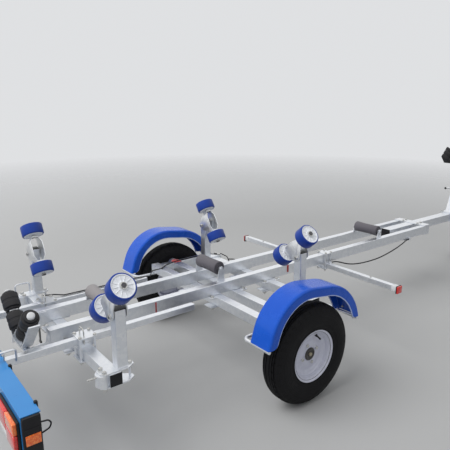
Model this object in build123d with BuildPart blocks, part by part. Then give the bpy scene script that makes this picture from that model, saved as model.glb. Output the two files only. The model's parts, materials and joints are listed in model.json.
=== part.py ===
"""Boat trailer: two parallel rails on cross tubes, torsion axle, four twin-roller posts,
rear V cradle, keel rollers, drawbar with winch post, coupling and jockey wheel.

Frame: +X towards the coupling, +Y to the left side, +Z up, ground at Z = 0.
Lengths along the trailer are given from the wheel centre with fore().
"""
from math import cos, hypot, pi, radians, sin, tan
import os

from build123d import *

# Overall reach from the wheel centre
FRONT_REACH = 3000.0
RAIL_REAR = -1045.0
LAMPS_BEHIND = 300.0
REAR_REACH = LAMPS_BEHIND - RAIL_REAR
AXLE_X = (REAR_REACH - FRONT_REACH) / 2

# Wheels
TYRE_OD = 505.0
TYRE_W = 124.0
RIM_D = 238.0
RIM_SEAT_W = 100.0
FLANGE_R = 132.0
TRACK_HALF = 615.0
WHEEL_Z = TYRE_OD / 2

# Rails and cross tubes
RAIL_Y = 110.0
RAIL_W = 40.0
RAIL_H = 60.0
RAIL_TOP = 490.0
RAIL_FRONT = 1865.0
WALL = 3.0
CROSS = 50.0
CROSS_TOP = RAIL_TOP - RAIL_H
CAP_T = 4.0

# Drawbar
BAR_W = 70.0
BAR_H = 60.0
BAR_REAR = 1498.0
NOSE_L = 150.0
BAR_FRONT = FRONT_REACH - NOSE_L

# Roller posts
POST = 45.0
POST_TOP = 673.0
PLATE_T = 6.0
REAR_POST_X = -900.0
REAR_POST_Y = 478.0
FRONT_POST_X = 153.0
FRONT_POST_Y = 412.0
REAR_TUBE_X = -937.0
FRONT_TUBE_X = 204.0
MIDDLE_TUBE_X = -165.0
AXLE_BEAM_X = -42.0

# Side members between the middle and the front cross tube
SIDE_Y = 470.0
SIDE_W = 40.0
SIDE_H = 40.0

# Twin-roller rockers
PIVOT_DROP = 25.0
ROLLER_LIFT = 65.0
ROLLER_SPAN = 205.0
ROLLER_OD = 108.0
ROLLER_W = 55.0
SPINDLE_R = 8.0
PIN_GAP = 0.5
ROCKER_GAP = 3.5
ROCKER_T = 5.0

# Clearances
RUN_GAP = 6.0
SIDE_GAP = 3.0


def fore(distance):
    """Frame X of a point the given distance ahead of the wheel centre."""
    return AXLE_X + distance


def tube_x(x0, x1, y, z_top, width, height, wall):
    """Rectangular tube along X between two distances from the wheel centre."""
    with BuildPart() as tube:
        with BuildSketch(Plane.YZ.offset(fore(x0))):
            with Locations((y, z_top - height / 2)):
                RectangleRounded(width, height, wall)
                Rectangle(width - 2 * wall, height - 2 * wall, mode=Mode.SUBTRACT)
        extrude(amount=x1 - x0)
    return tube.part


def tube_y(y0, y1, x, z_top, width, height, wall):
    """Rectangular tube along Y, centred on a distance from the wheel centre."""
    with BuildPart() as tube:
        with BuildSketch(Plane.XZ.offset(-y1)):
            with Locations((fore(x), z_top - height / 2)):
                RectangleRounded(width, height, wall)
                Rectangle(width - 2 * wall, height - 2 * wall, mode=Mode.SUBTRACT)
        extrude(amount=y1 - y0)
    return tube.part


def cap_x(x_end, direction, y, z_top, width, height):
    """Plastic plug on the end of a tube that runs fore and aft."""
    with BuildPart() as cap:
        with BuildSketch(Plane.YZ.offset(fore(x_end) - (CAP_T if direction < 0 else 0))):
            with Locations((y, z_top - height / 2)):
                RectangleRounded(width, height, WALL)
        extrude(amount=CAP_T)
    return cap.part


def upright(x, y, z0, z1, radius):
    """Round rod standing between two heights."""
    with BuildPart() as rod:
        with BuildSketch(Plane.XY.offset(z0)):
            with Locations((fore(x), y)):
                Circle(radius)
        extrude(amount=z1 - z0)
    return rod.part


def block(x0, x1, y0, y1, z0, z1):
    """Plain block between two corners, X measured from the wheel centre."""
    with BuildPart() as box:
        with BuildSketch(Plane.XY.offset(z0)):
            with Locations((fore((x0 + x1) / 2), (y0 + y1) / 2)):
                Rectangle(x1 - x0, y1 - y0)
        extrude(amount=z1 - z0)
    return box.part


def round_y(x, z, y0, y1, radius, bore=0.0):
    """Round bar or sleeve along Y."""
    with BuildPart() as bar:
        with BuildSketch(Plane.XZ.offset(-y1)):
            with Locations((fore(x), z)):
                Circle(radius)
                if bore:
                    Circle(bore, mode=Mode.SUBTRACT)
        extrude(amount=y1 - y0)
    return bar.part


def save(name, *solids):
    """Write one piece, made of one or more solids, as a STEP file."""
    shape = solids[0] if len(solids) == 1 else Compound(children=list(solids))
    shape.label = name
    export_step(shape, os.path.join("parts", name + ".step"))


os.makedirs("parts", exist_ok=True)

# Main rails
for side_name, side in (("left", 1), ("right", -1)):
    rail = tube_x(RAIL_REAR, RAIL_FRONT, side * RAIL_Y, RAIL_TOP, RAIL_W, RAIL_H, WALL)
    save("rail_" + side_name, rail)

# Cross tubes under the rails: name, distance from the wheel centre, half length
CROSS_TUBES = (
    ("rear_cross_tube", REAR_TUBE_X, 512.0),
    ("middle_cross_tube", MIDDLE_TUBE_X, 512.0),
    ("axle_beam", AXLE_BEAM_X, SIDE_Y - SIDE_W / 2),
    ("front_cross_tube", FRONT_TUBE_X, 482.0),
)
for name, x, half in CROSS_TUBES:
    save(name, tube_y(-half, half, x, CROSS_TOP, CROSS, CROSS, WALL))

# Side members, each with the plate under it that steadies the suspension arm
SIDE_PLATE_REAR = 8.0
SIDE_PLATE_FRONT = 151.0
SIDE_PLATE_DEEP = 62.0
side_members = []
for side in (1, -1):
    y = side * SIDE_Y
    low = CROSS_TOP - SIDE_H
    side_members.append(tube_x(MIDDLE_TUBE_X + CROSS / 2, FRONT_TUBE_X - CROSS / 2, y, CROSS_TOP,
                               SIDE_W, SIDE_H, WALL))
    side_members.append(block(SIDE_PLATE_REAR, SIDE_PLATE_FRONT, y - PLATE_T / 2, y + PLATE_T / 2,
                              low - SIDE_PLATE_DEEP, low))
save("side_members", *side_members)

# Drawbar between the rails, held by clamping plates at two places
save("drawbar", tube_x(BAR_REAR, BAR_FRONT, 0, RAIL_TOP, BAR_W, BAR_H, WALL + 1))

REAR_CLAMP_X = 1575.0
FRONT_CLAMP_X = 1835.0
BAR_CLAMP_L = 70.0
BAR_CLAMP_HALF = RAIL_Y + RAIL_W / 2
BAR_BOLT_OFF = 20.0
SPACER_H = 22.0
bar_clamps = []
# Columns: distance from the wheel centre, underside of a plate
for x, z0 in (
    (REAR_CLAMP_X, CROSS_TOP - PLATE_T),
    (FRONT_CLAMP_X, CROSS_TOP - PLATE_T),
    (FRONT_CLAMP_X, RAIL_TOP),
):
    bar_clamps.append(
        block(x - BAR_CLAMP_L / 2, x + BAR_CLAMP_L / 2, -BAR_CLAMP_HALF, BAR_CLAMP_HALF,
              z0, z0 + PLATE_T)
    )
for side in (1, -1):
    y0, y1 = sorted((side * BAR_W / 2, side * (RAIL_Y - RAIL_W / 2)))
    for dx in (-BAR_BOLT_OFF, BAR_BOLT_OFF):
        bar_clamps.append(upright(FRONT_CLAMP_X + dx, (y0 + y1) / 2, CROSS_TOP, RAIL_TOP, 5.0))
    # The rear pair is open from above, with a spacer on its plate at each side of the bar
    bar_clamps.append(block(REAR_CLAMP_X - BAR_CLAMP_L / 2, REAR_CLAMP_X + BAR_CLAMP_L / 2,
                            y0, y1, CROSS_TOP, CROSS_TOP + SPACER_H))

# Torsion arms and stub axles
STUB_R = 14.0
ARM_T = 20.0
ARM_Y = SIDE_Y + SIDE_W / 2
ARM_TOP_R = 34.0
ARM_LOW_R = 26.0
STUB_PAST = 8.0
STUB_END = TRACK_HALF + STUB_PAST
arms = []
for side in (1, -1):
    inner = ARM_Y if side > 0 else -ARM_Y - ARM_T
    with BuildPart() as arm:
        with BuildSketch(Plane.XZ.offset(-(inner + ARM_T))):
            with Locations((fore(AXLE_BEAM_X), CROSS_TOP - CROSS / 2)):
                Circle(ARM_TOP_R)
            with Locations((fore(0), WHEEL_Z)):
                Circle(ARM_LOW_R)
            make_hull()
        extrude(amount=ARM_T)
        start = STUB_END if side > 0 else -(ARM_Y + ARM_T)
        with BuildSketch(Plane.XZ.offset(-start)):
            with Locations((fore(0), WHEEL_Z)):
                Circle(STUB_R)
        extrude(amount=STUB_END - ARM_Y - ARM_T)
    arms.append(arm.part)
save("axle_arms", *arms)

# Road wheels: profile points are (outward from the tyre's mid plane, radius)
TYRE_HALF = (
    (RIM_SEAT_W / 2, RIM_D / 2),
    (RIM_SEAT_W / 2, FLANGE_R + 1.0),
    (57.0, 150.0),
    (TYRE_W / 2, 182.0),
    (TYRE_W / 2, 200.0),
    (57.0, 222.0),
    (46.0, 240.0),
    (32.0, 249.0),
    (20.0, TYRE_OD / 2),
)
BOSS_R = 34.0
DISC_OUT = 16.0
DISC_T = 6.0
DISC_R = 87.0
BOSS_IN = -26.0
BOSS_OUT = 34.0
for side_name, side in (("left", 1), ("right", -1)):
    centre = Plane(origin=(fore(0), side * TRACK_HALF, WHEEL_Z), x_dir=(0, side, 0),
                   z_dir=(side, 0, 0))
    outline = list(TYRE_HALF) + [(-u, r) for u, r in reversed(TYRE_HALF)]
    with BuildPart() as tyre:
        with BuildSketch(centre):
            with BuildLine():
                Polyline(*outline, close=True)
            make_face()
        revolve(axis=Axis(centre.origin, centre.x_dir))
    save("tyre_" + side_name, tyre.part)
    seat = RIM_SEAT_W / 2
    barrel = RIM_D / 2 - 5.0
    with BuildPart() as rim:
        with BuildSketch(centre):
            with BuildLine():
                Polyline(
                    (-seat, RIM_D / 2),
                    (seat, RIM_D / 2),
                    (seat, FLANGE_R),
                    (seat + 5.0, FLANGE_R),
                    (seat + 5.0, barrel),
                    (DISC_OUT + 14.0, barrel),
                    (DISC_OUT, DISC_R),
                    (DISC_OUT, BOSS_R),
                    (BOSS_OUT, BOSS_R - 6.0),
                    (BOSS_OUT, 0.0),
                    (12.0, 0.0),
                    (12.0, STUB_R + PIN_GAP),
                    (BOSS_IN, STUB_R + PIN_GAP),
                    (BOSS_IN, BOSS_R),
                    (DISC_OUT - DISC_T, BOSS_R),
                    (DISC_OUT - DISC_T, DISC_R + 2.0),
                    (DISC_OUT + 6.0, barrel),
                    (-seat - 5.0, barrel),
                    (-seat - 5.0, FLANGE_R),
                    (-seat, FLANGE_R),
                    close=True,
                )
            make_face()
        revolve(axis=Axis(centre.origin, centre.x_dir))
    save("rim_" + side_name, rim.part)

# Mudguards: an arched shell with a skirt down both sides.
# Corner points of the arch (distance from the wheel centre, height), rear end first
GUARD_LINE = (
    (-311.0, 375.0),
    (-228.0, 638.0),
    (257.0, 567.0),
    (308.0, 375.0),
)
GUARD_BENDS = (240.0, 275.0)
GUARD_FOOT = CROSS_TOP - CROSS
GUARD_T = 4.0
GUARD_IN = 554.0
GUARD_OUT = 683.0
GUARD_SKIRT = 45.0
GUARD_EDGE_R = 13.0
GUARD_CORNER_R = 28.0


def guard_points(inset):
    """The arch's corner points moved inward by the same distance all along."""
    ways = []
    for (x0, z0), (x1, z1) in zip(GUARD_LINE, GUARD_LINE[1:]):
        run = hypot(x1 - x0, z1 - z0)
        ways.append(((z1 - z0) / run, (x0 - x1) / run))
    ways = [ways[0]] + ways + [ways[-1]]
    points = []
    for (x, z), (ax, az), (bx, bz) in zip(GUARD_LINE, ways, ways[1:]):
        reach = inset / (1 + ax * bx + az * bz)
        points.append((x + reach * (ax + bx), z + reach * (az + bz)))
    return points


def guard_band(outer, inner, y0, y1):
    """Band between two insets of the arch, with rounded shoulders."""
    edges = [[(fore(x), z) for x, z in guard_points(inset)] for inset in (outer, inner)]
    with BuildPart() as band:
        with BuildSketch(Plane.XZ.offset(-y1)):
            with BuildLine():
                for inset, points in zip((outer, inner), edges):
                    FilletPolyline(*points, radius=[bend - inset for bend in GUARD_BENDS])
                Line(edges[0][0], edges[1][0])
                Line(edges[0][-1], edges[1][-1])
            make_face()
        extrude(amount=y1 - y0)
        arcs = band.edges().filter_by(GeomType.CIRCLE)
        fillet(arcs.filter_by(lambda arc: abs(arc.radius - GUARD_BENDS[0] + outer) < 1.0),
               GUARD_EDGE_R - outer)
    return band.part


for side_name, side in (("left", 1), ("right", -1)):
    y0, y1 = sorted((side * GUARD_IN, side * GUARD_OUT))
    with BuildPart() as guard:
        add(guard_band(0.0, GUARD_SKIRT, y0, y1))
        add(guard_band(GUARD_T, GUARD_SKIRT + GUARD_T, y0 + GUARD_T, y1 - GUARD_T),
            mode=Mode.SUBTRACT)
        split(bisect_by=Plane.XY.offset(GUARD_FOOT), keep=Keep.TOP)
        # the skirts' lower corners are rounded
        feet = guard.edges().filter_by(Axis.Y)
        fillet(feet.filter_by(lambda edge: abs(edge.center().Z - GUARD_FOOT) < 0.5
                              and abs(edge.length - GUARD_T) < 0.5), GUARD_CORNER_R)
    save("mudguard_" + side_name, guard.part)

# Mudguard stays: bent round bars under a cross tube and out under an end of the guard
CLAMP_HALF = 30.0
STAY_R = 8.0
STAY_BEND = 30.0
STAY_OUT = GUARD_OUT - 6.0
SKIN_GAP = 0.1
STAY_Z = GUARD_FOOT - STAY_R - SKIN_GAP
# Columns: end of the arch, cross tube, place across where the stay leaves the tube
STAYS = (
    (0, MIDDLE_TUBE_X, 500.0),
    (-1, FRONT_TUBE_X, 466.0),
)
stays = []
for end, tube_at, stay_y in STAYS:
    bar_x = guard_points(GUARD_T + STAY_R)[end][0]
    for side in (1, -1):
        with BuildPart() as stay:
            with BuildLine():
                FilletPolyline(
                    (fore(tube_at), side * stay_y, STAY_Z),
                    (fore(bar_x), side * stay_y, STAY_Z),
                    (fore(bar_x), side * STAY_OUT, STAY_Z),
                    radius=STAY_BEND,
                )
            with BuildSketch(Plane.YZ.offset(fore(tube_at))):
                with Locations((side * stay_y, STAY_Z)):
                    Circle(STAY_R)
            sweep()
        stays.append(stay.part)
save("mudguard_stays", *stays)

# Roller posts with their clamping plates.
# Columns: name, post X, post Y, side, tube X, rocker tilt in degrees as it stands
UNITS = (
    ("rear_left", REAR_POST_X, REAR_POST_Y, 1, REAR_TUBE_X, 58.0),
    ("rear_right", REAR_POST_X, REAR_POST_Y, -1, REAR_TUBE_X, 40.0),
    ("front_left", FRONT_POST_X, FRONT_POST_Y, 1, FRONT_TUBE_X, 56.0),
    ("front_right", FRONT_POST_X, FRONT_POST_Y, -1, FRONT_TUBE_X, 41.0),
)
PIVOT_Z = POST_TOP - PIVOT_DROP
PIN_R = 6.0
CLAMP_BOLT_R = 5.0
BOLT_OFF = CROSS / 2 + 14.0
TIP_OFF = CROSS / 2 + 32.0
POST_FOOT = CROSS_TOP + PLATE_T
CLAMP_CORNER_R = 8.0
posts = []
post_clamps = []
caps = []
for name, post_x, post_y, side, tube_at, tilt in UNITS:
    y = side * post_y
    with BuildPart() as post:
        with BuildSketch(Plane.XY.offset(POST_FOOT)):
            with Locations((fore(post_x), y)):
                RectangleRounded(POST, POST, WALL)
                Rectangle(POST - 2 * WALL, POST - 2 * WALL, mode=Mode.SUBTRACT)
        extrude(amount=POST_TOP - POST_FOOT)
        with BuildSketch(Plane.YZ.offset(fore(post_x) - POST)):
            with Locations((y, PIVOT_Z)):
                Circle(PIN_R + PIN_GAP)
        extrude(amount=2 * POST, mode=Mode.SUBTRACT)
    posts.append(post.part)
    with BuildPart() as top_cap:
        with BuildSketch(Plane.XY.offset(POST_TOP)):
            with Locations((fore(post_x), y)):
                RectangleRounded(POST, POST, WALL)
        extrude(amount=SIDE_GAP)
    caps.append(top_cap.part)
    # The post stands beside its cross tube, on the plate's longer end
    toward = 1 if post_x > tube_at else -1
    far_end = post_x - tube_at + toward * (POST / 2 + 30.0)
    near_end = -toward * TIP_OFF
    for z0 in (CROSS_TOP - CROSS - PLATE_T, CROSS_TOP):
        with BuildPart() as plate:
            with BuildSketch(Plane.XY.offset(z0)):
                with BuildLine():
                    Polyline(
                        (fore(tube_at) + near_end, y - 16.0),
                        (fore(tube_at) + near_end * 0.75, y - CLAMP_HALF),
                        (fore(post_x) + toward * POST / 2, y - CLAMP_HALF),
                        (fore(tube_at) + far_end, y - 10.0),
                        (fore(tube_at) + far_end, y + 10.0),
                        (fore(post_x) + toward * POST / 2, y + CLAMP_HALF),
                        (fore(tube_at) + near_end * 0.75, y + CLAMP_HALF),
                        (fore(tube_at) + near_end, y + 16.0),
                        close=True,
                    )
                make_face()
            extrude(amount=PLATE_T)
            fillet(plate.edges().filter_by(Axis.Z), CLAMP_CORNER_R)
        post_clamps.append(plate.part)
    for bolt_x, dy in (
        (tube_at - toward * BOLT_OFF, -18.0),
        (tube_at - toward * BOLT_OFF, 18.0),
        (tube_at + far_end - toward * 14.0, 0.0),
    ):
        post_clamps.append(
            upright(bolt_x, y + dy, CROSS_TOP - CROSS, CROSS_TOP, CLAMP_BOLT_R)
        )
save("roller_posts", *posts)
save("post_clamps", *post_clamps)


def rocker_seat(post_x, post_y, side, tilt):
    """Plane at a rocker's pivot: x ahead, y along the spindles, z away from the post."""
    angle = radians(side * tilt)
    return Plane(
        origin=(fore(post_x), side * post_y, PIVOT_Z),
        x_dir=(1, 0, 0),
        z_dir=(0, -sin(angle), cos(angle)),
    )


# One rocker in its own axes: two leaf plates that are wide apart at the post and close in
# towards their ends, end webs, pivot pin and two spindles
LEAF_IN = POST / 2 + ROCKER_GAP
LEAF_OUT = LEAF_IN + ROCKER_T
LEAF_KNEE = 36.0
LEAF_END_OUT = 15.0
LEAF_LOW = -16.0
LEAF_RISE = 22.0
LEAF_END = ROLLER_SPAN / 2 - ROLLER_W / 2 - RUN_GAP
WEB_T = 8.0
WEB_HALF = 13.0
SPINDLE_END = ROLLER_SPAN / 2 + ROLLER_W / 2 + SIDE_GAP
HEAD_R = 14.0
HEAD_T = 6.0
PIN_PAST = 8.0
with BuildPart() as rocker:
    with BuildSketch(Plane.YZ.offset(-LEAF_OUT)):
        with BuildLine():
            Polyline(
                (-LEAF_END, ROLLER_LIFT - WEB_HALF),
                (-20.0, LEAF_LOW),
                (20.0, LEAF_LOW),
                (LEAF_END, ROLLER_LIFT - WEB_HALF),
                (LEAF_END, ROLLER_LIFT + WEB_HALF),
                (0.0, ROLLER_LIFT + LEAF_RISE),
                (-LEAF_END, ROLLER_LIFT + WEB_HALF),
                close=True,
            )
        make_face()
    extrude(amount=2 * LEAF_OUT)
    with BuildSketch(Plane.XY.offset(LEAF_LOW)):
        for side in (1, -1):
            with BuildLine():
                Polyline(
                    (side * LEAF_END_OUT, -LEAF_END),
                    (side * LEAF_OUT, -LEAF_KNEE),
                    (side * LEAF_OUT, LEAF_KNEE),
                    (side * LEAF_END_OUT, LEAF_END),
                    (side * (LEAF_END_OUT - ROCKER_T), LEAF_END),
                    (side * LEAF_IN, LEAF_KNEE),
                    (side * LEAF_IN, -LEAF_KNEE),
                    (side * (LEAF_END_OUT - ROCKER_T), -LEAF_END),
                    close=True,
                )
            make_face()
    extrude(amount=ROLLER_LIFT + LEAF_RISE - LEAF_LOW, mode=Mode.INTERSECT)
    for end in (-1, 1):
        with BuildSketch(Plane.XY.offset(ROLLER_LIFT - WEB_HALF)):
            with Locations((0, end * (LEAF_END - WEB_T / 2))):
                Rectangle(2 * LEAF_END_OUT, WEB_T)
        extrude(amount=2 * WEB_HALF)
        with BuildSketch(Plane.XZ.offset(-end * (LEAF_END - WEB_T / 2))):
            with Locations((0, ROLLER_LIFT)):
                Circle(SPINDLE_R)
        extrude(amount=-end * (SPINDLE_END + HEAD_T - LEAF_END + WEB_T / 2))
        with BuildSketch(Plane.XZ.offset(-end * (LEAF_END - WEB_T / 2))):
            with Locations((0, ROLLER_LIFT)):
                Circle(HEAD_R)
        extrude(amount=-end * (WEB_T / 2 + RUN_GAP - SIDE_GAP))
        with BuildSketch(Plane.XZ.offset(-end * SPINDLE_END)):
            with Locations((0, ROLLER_LIFT)):
                Circle(HEAD_R)
        extrude(amount=-end * HEAD_T)
    with BuildSketch(Plane.YZ.offset(-LEAF_OUT - PIN_PAST)):
        Circle(PIN_R)
    extrude(amount=2 * (LEAF_OUT + PIN_PAST))

# One blue roller: tyre moulded on a hub, with a shallow recess in both faces
RECESS = 3.0
with BuildPart() as roller:
    with BuildSketch(Plane.YZ):
        with BuildLine():
            Polyline(
                (-ROLLER_W / 2, SPINDLE_R + PIN_GAP),
                (ROLLER_W / 2, SPINDLE_R + PIN_GAP),
                (ROLLER_W / 2, 20.0),
                (ROLLER_W / 2 - RECESS, 22.0),
                (ROLLER_W / 2 - RECESS, 44.0),
                (ROLLER_W / 2, 47.0),
                (ROLLER_W / 2, ROLLER_OD / 2 - 4.0),
                (ROLLER_W / 2 - 5.0, ROLLER_OD / 2),
                (-ROLLER_W / 2 + 5.0, ROLLER_OD / 2),
                (-ROLLER_W / 2, ROLLER_OD / 2 - 4.0),
                (-ROLLER_W / 2, 47.0),
                (-ROLLER_W / 2 + RECESS, 44.0),
                (-ROLLER_W / 2 + RECESS, 22.0),
                (-ROLLER_W / 2, 20.0),
                close=True,
            )
        make_face()
    revolve(axis=Axis.Y)
for name, post_x, post_y, side, tube_at, tilt in UNITS:
    seat = rocker_seat(post_x, post_y, side, tilt)
    save("rocker_" + name, seat.location * rocker.part)
    for place, end in (("outer", side), ("inner", -side)):
        spot = seat.location * Location((0, end * ROLLER_SPAN / 2, ROLLER_LIFT))
        save("roller_" + name + "_" + place, spot * roller.part)

# Keel rollers between ears on the rails: name, distance, height, half length, radius
KEELS = (
    ("front", 1270.0, 532.0, 92.0, 35.0),
    ("middle", -120.0, 556.0, 86.0, 36.0),
    ("rear", -765.0, 530.0, 86.0, 35.0),
)
EAR_T = 6.0
EAR_LAP = 8.0
EAR_IN = RAIL_Y - RAIL_W / 2 + EAR_LAP
EAR_FOOT_L = 44.0
EAR_TOP_R = 14.0
KEEL_PIN_R = 8.0
KEEL_EDGE = 4.0
brackets = []
for name, x, z, half, radius in KEELS:
    with BuildPart() as bracket:
        for side in (1, -1):
            start = EAR_IN + EAR_T if side > 0 else -EAR_IN
            with BuildSketch(Plane.XZ.offset(-start)):
                with Locations((fore(x), z)):
                    Circle(EAR_TOP_R)
                with Locations((fore(x), RAIL_TOP + 1.0)):
                    Rectangle(EAR_FOOT_L, 2.0)
                make_hull()
            extrude(amount=EAR_T)
        pin_end = EAR_IN + EAR_T + EAR_LAP
        add(round_y(x, z, -pin_end, pin_end, KEEL_PIN_R))
    brackets.append(bracket.part)
    with BuildPart() as keel:
        with BuildSketch(Plane.XY.offset(z)):
            with BuildLine():
                Polyline(
                    (fore(x) + KEEL_PIN_R + PIN_GAP, -half),
                    (fore(x) + radius - KEEL_EDGE, -half),
                    (fore(x) + radius, -half + KEEL_EDGE),
                    (fore(x) + radius, half - KEEL_EDGE),
                    (fore(x) + radius - KEEL_EDGE, half),
                    (fore(x) + KEEL_PIN_R + PIN_GAP, half),
                    close=True,
                )
            make_face()
        revolve(axis=Axis((fore(x), 0, z), (0, 1, 0)))
    save(name + "_keel_roller", keel.part)
save("keel_brackets", *brackets)

# Rear V cradle: two shafts with two rollers each, tilting on a cross pin
CRADLE_BACK = 80.0
CRADLE_X = RAIL_REAR - CRADLE_BACK
CRADLE_Z = 396.0
CRADLE_PIN_R = 8.0
V_DEG = 47.0
V_ROLLER_R = 37.0
V_ROLLER_L = 84.0
V_PITCH = 93.0
V_IN_Y = 64.0
V_IN_Z = 487.0
V_SHAFT_R = 8.0
MOUNT_T = 6.0
MOUNT_IN = RAIL_Y - RAIL_W / 2 - MOUNT_T
with BuildPart() as mount:
    for side in (1, -1):
        start = MOUNT_IN + MOUNT_T if side > 0 else -MOUNT_IN
        with BuildSketch(Plane.XZ.offset(-start)):
            with BuildLine():
                Polyline(
                    (fore(RAIL_REAR) + 60.0, RAIL_TOP - 6.0),
                    (fore(RAIL_REAR) + 4.0, RAIL_TOP - 6.0),
                    (fore(RAIL_REAR) - 8.0, CRADLE_Z + 28.0),
                    (fore(CRADLE_X) - 18.0, CRADLE_Z + 16.0),
                    (fore(CRADLE_X) - 22.0, CRADLE_Z - 18.0),
                    (fore(CRADLE_X) + 22.0, CRADLE_Z - 18.0),
                    (fore(RAIL_REAR) + 60.0, CROSS_TOP + 2.0),
                    close=True,
                )
            make_face()
        extrude(amount=MOUNT_T)
    add(round_y(CRADLE_X, CRADLE_Z, -RAIL_Y - 6.0, RAIL_Y + 6.0, CRADLE_PIN_R))
save("cradle_mount", mount.part)

v_way = (cos(radians(V_DEG)), sin(radians(V_DEG)))
V_BASE = V_ROLLER_R + 7.0
V_PLATE_T = 6.0
V_DEPTH = 46.0


def v_point(side, along, down):
    """Point in the cradle's cross section: along a shaft and square below it."""
    y = V_IN_Y + along * v_way[0] + down * v_way[1]
    z = V_IN_Z + along * v_way[1] - down * v_way[0]
    return (side * y, z)


with BuildPart() as cradle:
    add(round_y(CRADLE_X, CRADLE_Z, -MOUNT_IN + SIDE_GAP, MOUNT_IN - SIDE_GAP,
                CRADLE_PIN_R + 7.0, CRADLE_PIN_R + PIN_GAP))
    for side in (1, -1):
        # sloping base plate under the two rollers
        with BuildSketch(Plane.YZ.offset(fore(CRADLE_X) - V_DEPTH / 2)):
            with BuildLine():
                Polyline(
                    (0.0, CRADLE_Z + CRADLE_PIN_R + 2.0),
                    (side * 52.0, CRADLE_Z + CRADLE_PIN_R + 2.0),
                    v_point(side, -V_PITCH / 2, V_BASE + V_PLATE_T),
                    v_point(side, V_PITCH * 1.5, V_BASE + V_PLATE_T),
                    v_point(side, V_PITCH * 1.5, V_BASE),
                    v_point(side, -V_PITCH / 2, V_BASE),
                    (side * 46.0, CRADLE_Z + CRADLE_PIN_R + 8.0),
                    (0.0, CRADLE_Z + CRADLE_PIN_R + 8.0),
                    close=True,
                )
            make_face()
        extrude(amount=V_DEPTH)
        # tabs that carry the shaft at its inner end and between the rollers
        for along in (-V_PITCH / 2, V_PITCH / 2):
            with BuildSketch(Plane.YZ.offset(fore(CRADLE_X) - 18.0)):
                with BuildLine():
                    Polyline(
                        v_point(side, along - 2.0, -14.0),
                        v_point(side, along + 2.0, -14.0),
                        v_point(side, along + 2.0, V_BASE + 2.0),
                        v_point(side, along - 2.0, V_BASE + 2.0),
                        close=True,
                    )
                make_face()
            extrude(amount=36.0)
        low = v_point(side, -V_PITCH / 2 - 3.0, 0.0)
        shaft_plane = Plane(
            origin=(fore(CRADLE_X), low[0], low[1]),
            x_dir=(1, 0, 0),
            z_dir=(0, side * v_way[0], v_way[1]),
        )
        with BuildSketch(shaft_plane):
            Circle(V_SHAFT_R)
        extrude(amount=2 * V_PITCH + 10.0)
        with BuildSketch(shaft_plane.offset(2 * V_PITCH + 4.0)):
            Circle(13.0)
        extrude(amount=6.0)
save("cradle", cradle.part)

for side_name, side in (("left", 1), ("right", -1)):
    pair = []
    for place, along in (("lower", 0.0), ("upper", V_PITCH)):
        centre = v_point(side, along, 0.0)
        spot = Plane(
            origin=(fore(CRADLE_X), centre[0], centre[1]),
            x_dir=(1, 0, 0),
            z_dir=(0, side * v_way[0], v_way[1]),
        )
        with BuildPart() as v_roller:
            with BuildSketch(spot.offset(-V_ROLLER_L / 2)):
                Circle(V_ROLLER_R)
                Circle(V_SHAFT_R + PIN_GAP, mode=Mode.SUBTRACT)
            extrude(amount=V_ROLLER_L)
        save("cradle_roller_" + side_name + "_" + place, v_roller.part)

# Slim arms that carry the light board, clamped on the rear cross tube
LIGHT_ARM = 30.0
LIGHT_ARM_Y = 228.0
LIGHT_ARM_TOP = 475.0
LIGHT_ARM_FRONT = -392.0
LAMP_T = 23.0
BOARD_T = 3.0
BOARD_REAR = LAMP_T - REAR_REACH
LIGHT_ARM_REAR = BOARD_REAR + BOARD_T + 1.0
arms = []
for side in (1, -1):
    arms.append(tube_x(LIGHT_ARM_REAR, LIGHT_ARM_FRONT, side * LIGHT_ARM_Y, LIGHT_ARM_TOP,
                       LIGHT_ARM, LIGHT_ARM, 2.5))
save("light_arms", *arms)
arm_clamps = []
for side in (1, -1):
    y = side * LIGHT_ARM_Y
    arm_clamps.append(block(REAR_TUBE_X - 40.0, REAR_TUBE_X + 40.0, y - 40.0, y + 40.0,
                            LIGHT_ARM_TOP, LIGHT_ARM_TOP + 5.0))
    arm_clamps.append(block(REAR_TUBE_X - 40.0, REAR_TUBE_X + 40.0, y - 15.0, y + 15.0,
                            CROSS_TOP, LIGHT_ARM_TOP - LIGHT_ARM))
    arm_clamps.append(block(REAR_TUBE_X - 40.0, REAR_TUBE_X + 40.0, y - 40.0, y + 40.0,
                            CROSS_TOP - CROSS - 5.0, CROSS_TOP - CROSS))
    for dx in (-32.0, 32.0):
        for dy in (-30.0, 30.0):
            arm_clamps.append(upright(REAR_TUBE_X + dx, y + dy, CROSS_TOP - CROSS,
                                      LIGHT_ARM_TOP, 4.0))

# Light board: folded blue channel, with lamps on its rear face
BOARD_HALF = 641.0
BOARD_WIDE = 64.0
BOARD_FRONT = BOARD_REAR + BOARD_WIDE
BOARD_DEEP = 140.0
BOARD_TOP = LIGHT_ARM_TOP + BOARD_T
with BuildPart() as board:
    with BuildSketch(Plane.XZ.offset(-BOARD_HALF)):
        with BuildLine():
            Polyline(
                (fore(BOARD_FRONT), BOARD_TOP),
                (fore(BOARD_REAR), BOARD_TOP),
                (fore(BOARD_REAR), BOARD_TOP - BOARD_DEEP),
                (fore(BOARD_REAR) + BOARD_T, BOARD_TOP - BOARD_DEEP),
                (fore(BOARD_REAR) + BOARD_T, BOARD_TOP - BOARD_T),
                (fore(BOARD_FRONT), BOARD_TOP - BOARD_T),
                close=True,
            )
        make_face()
    extrude(amount=2 * BOARD_HALF)
save("light_board", board.part)
LAMP_L = 190.0
LAMP_H = 110.0
lamps = []
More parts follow.
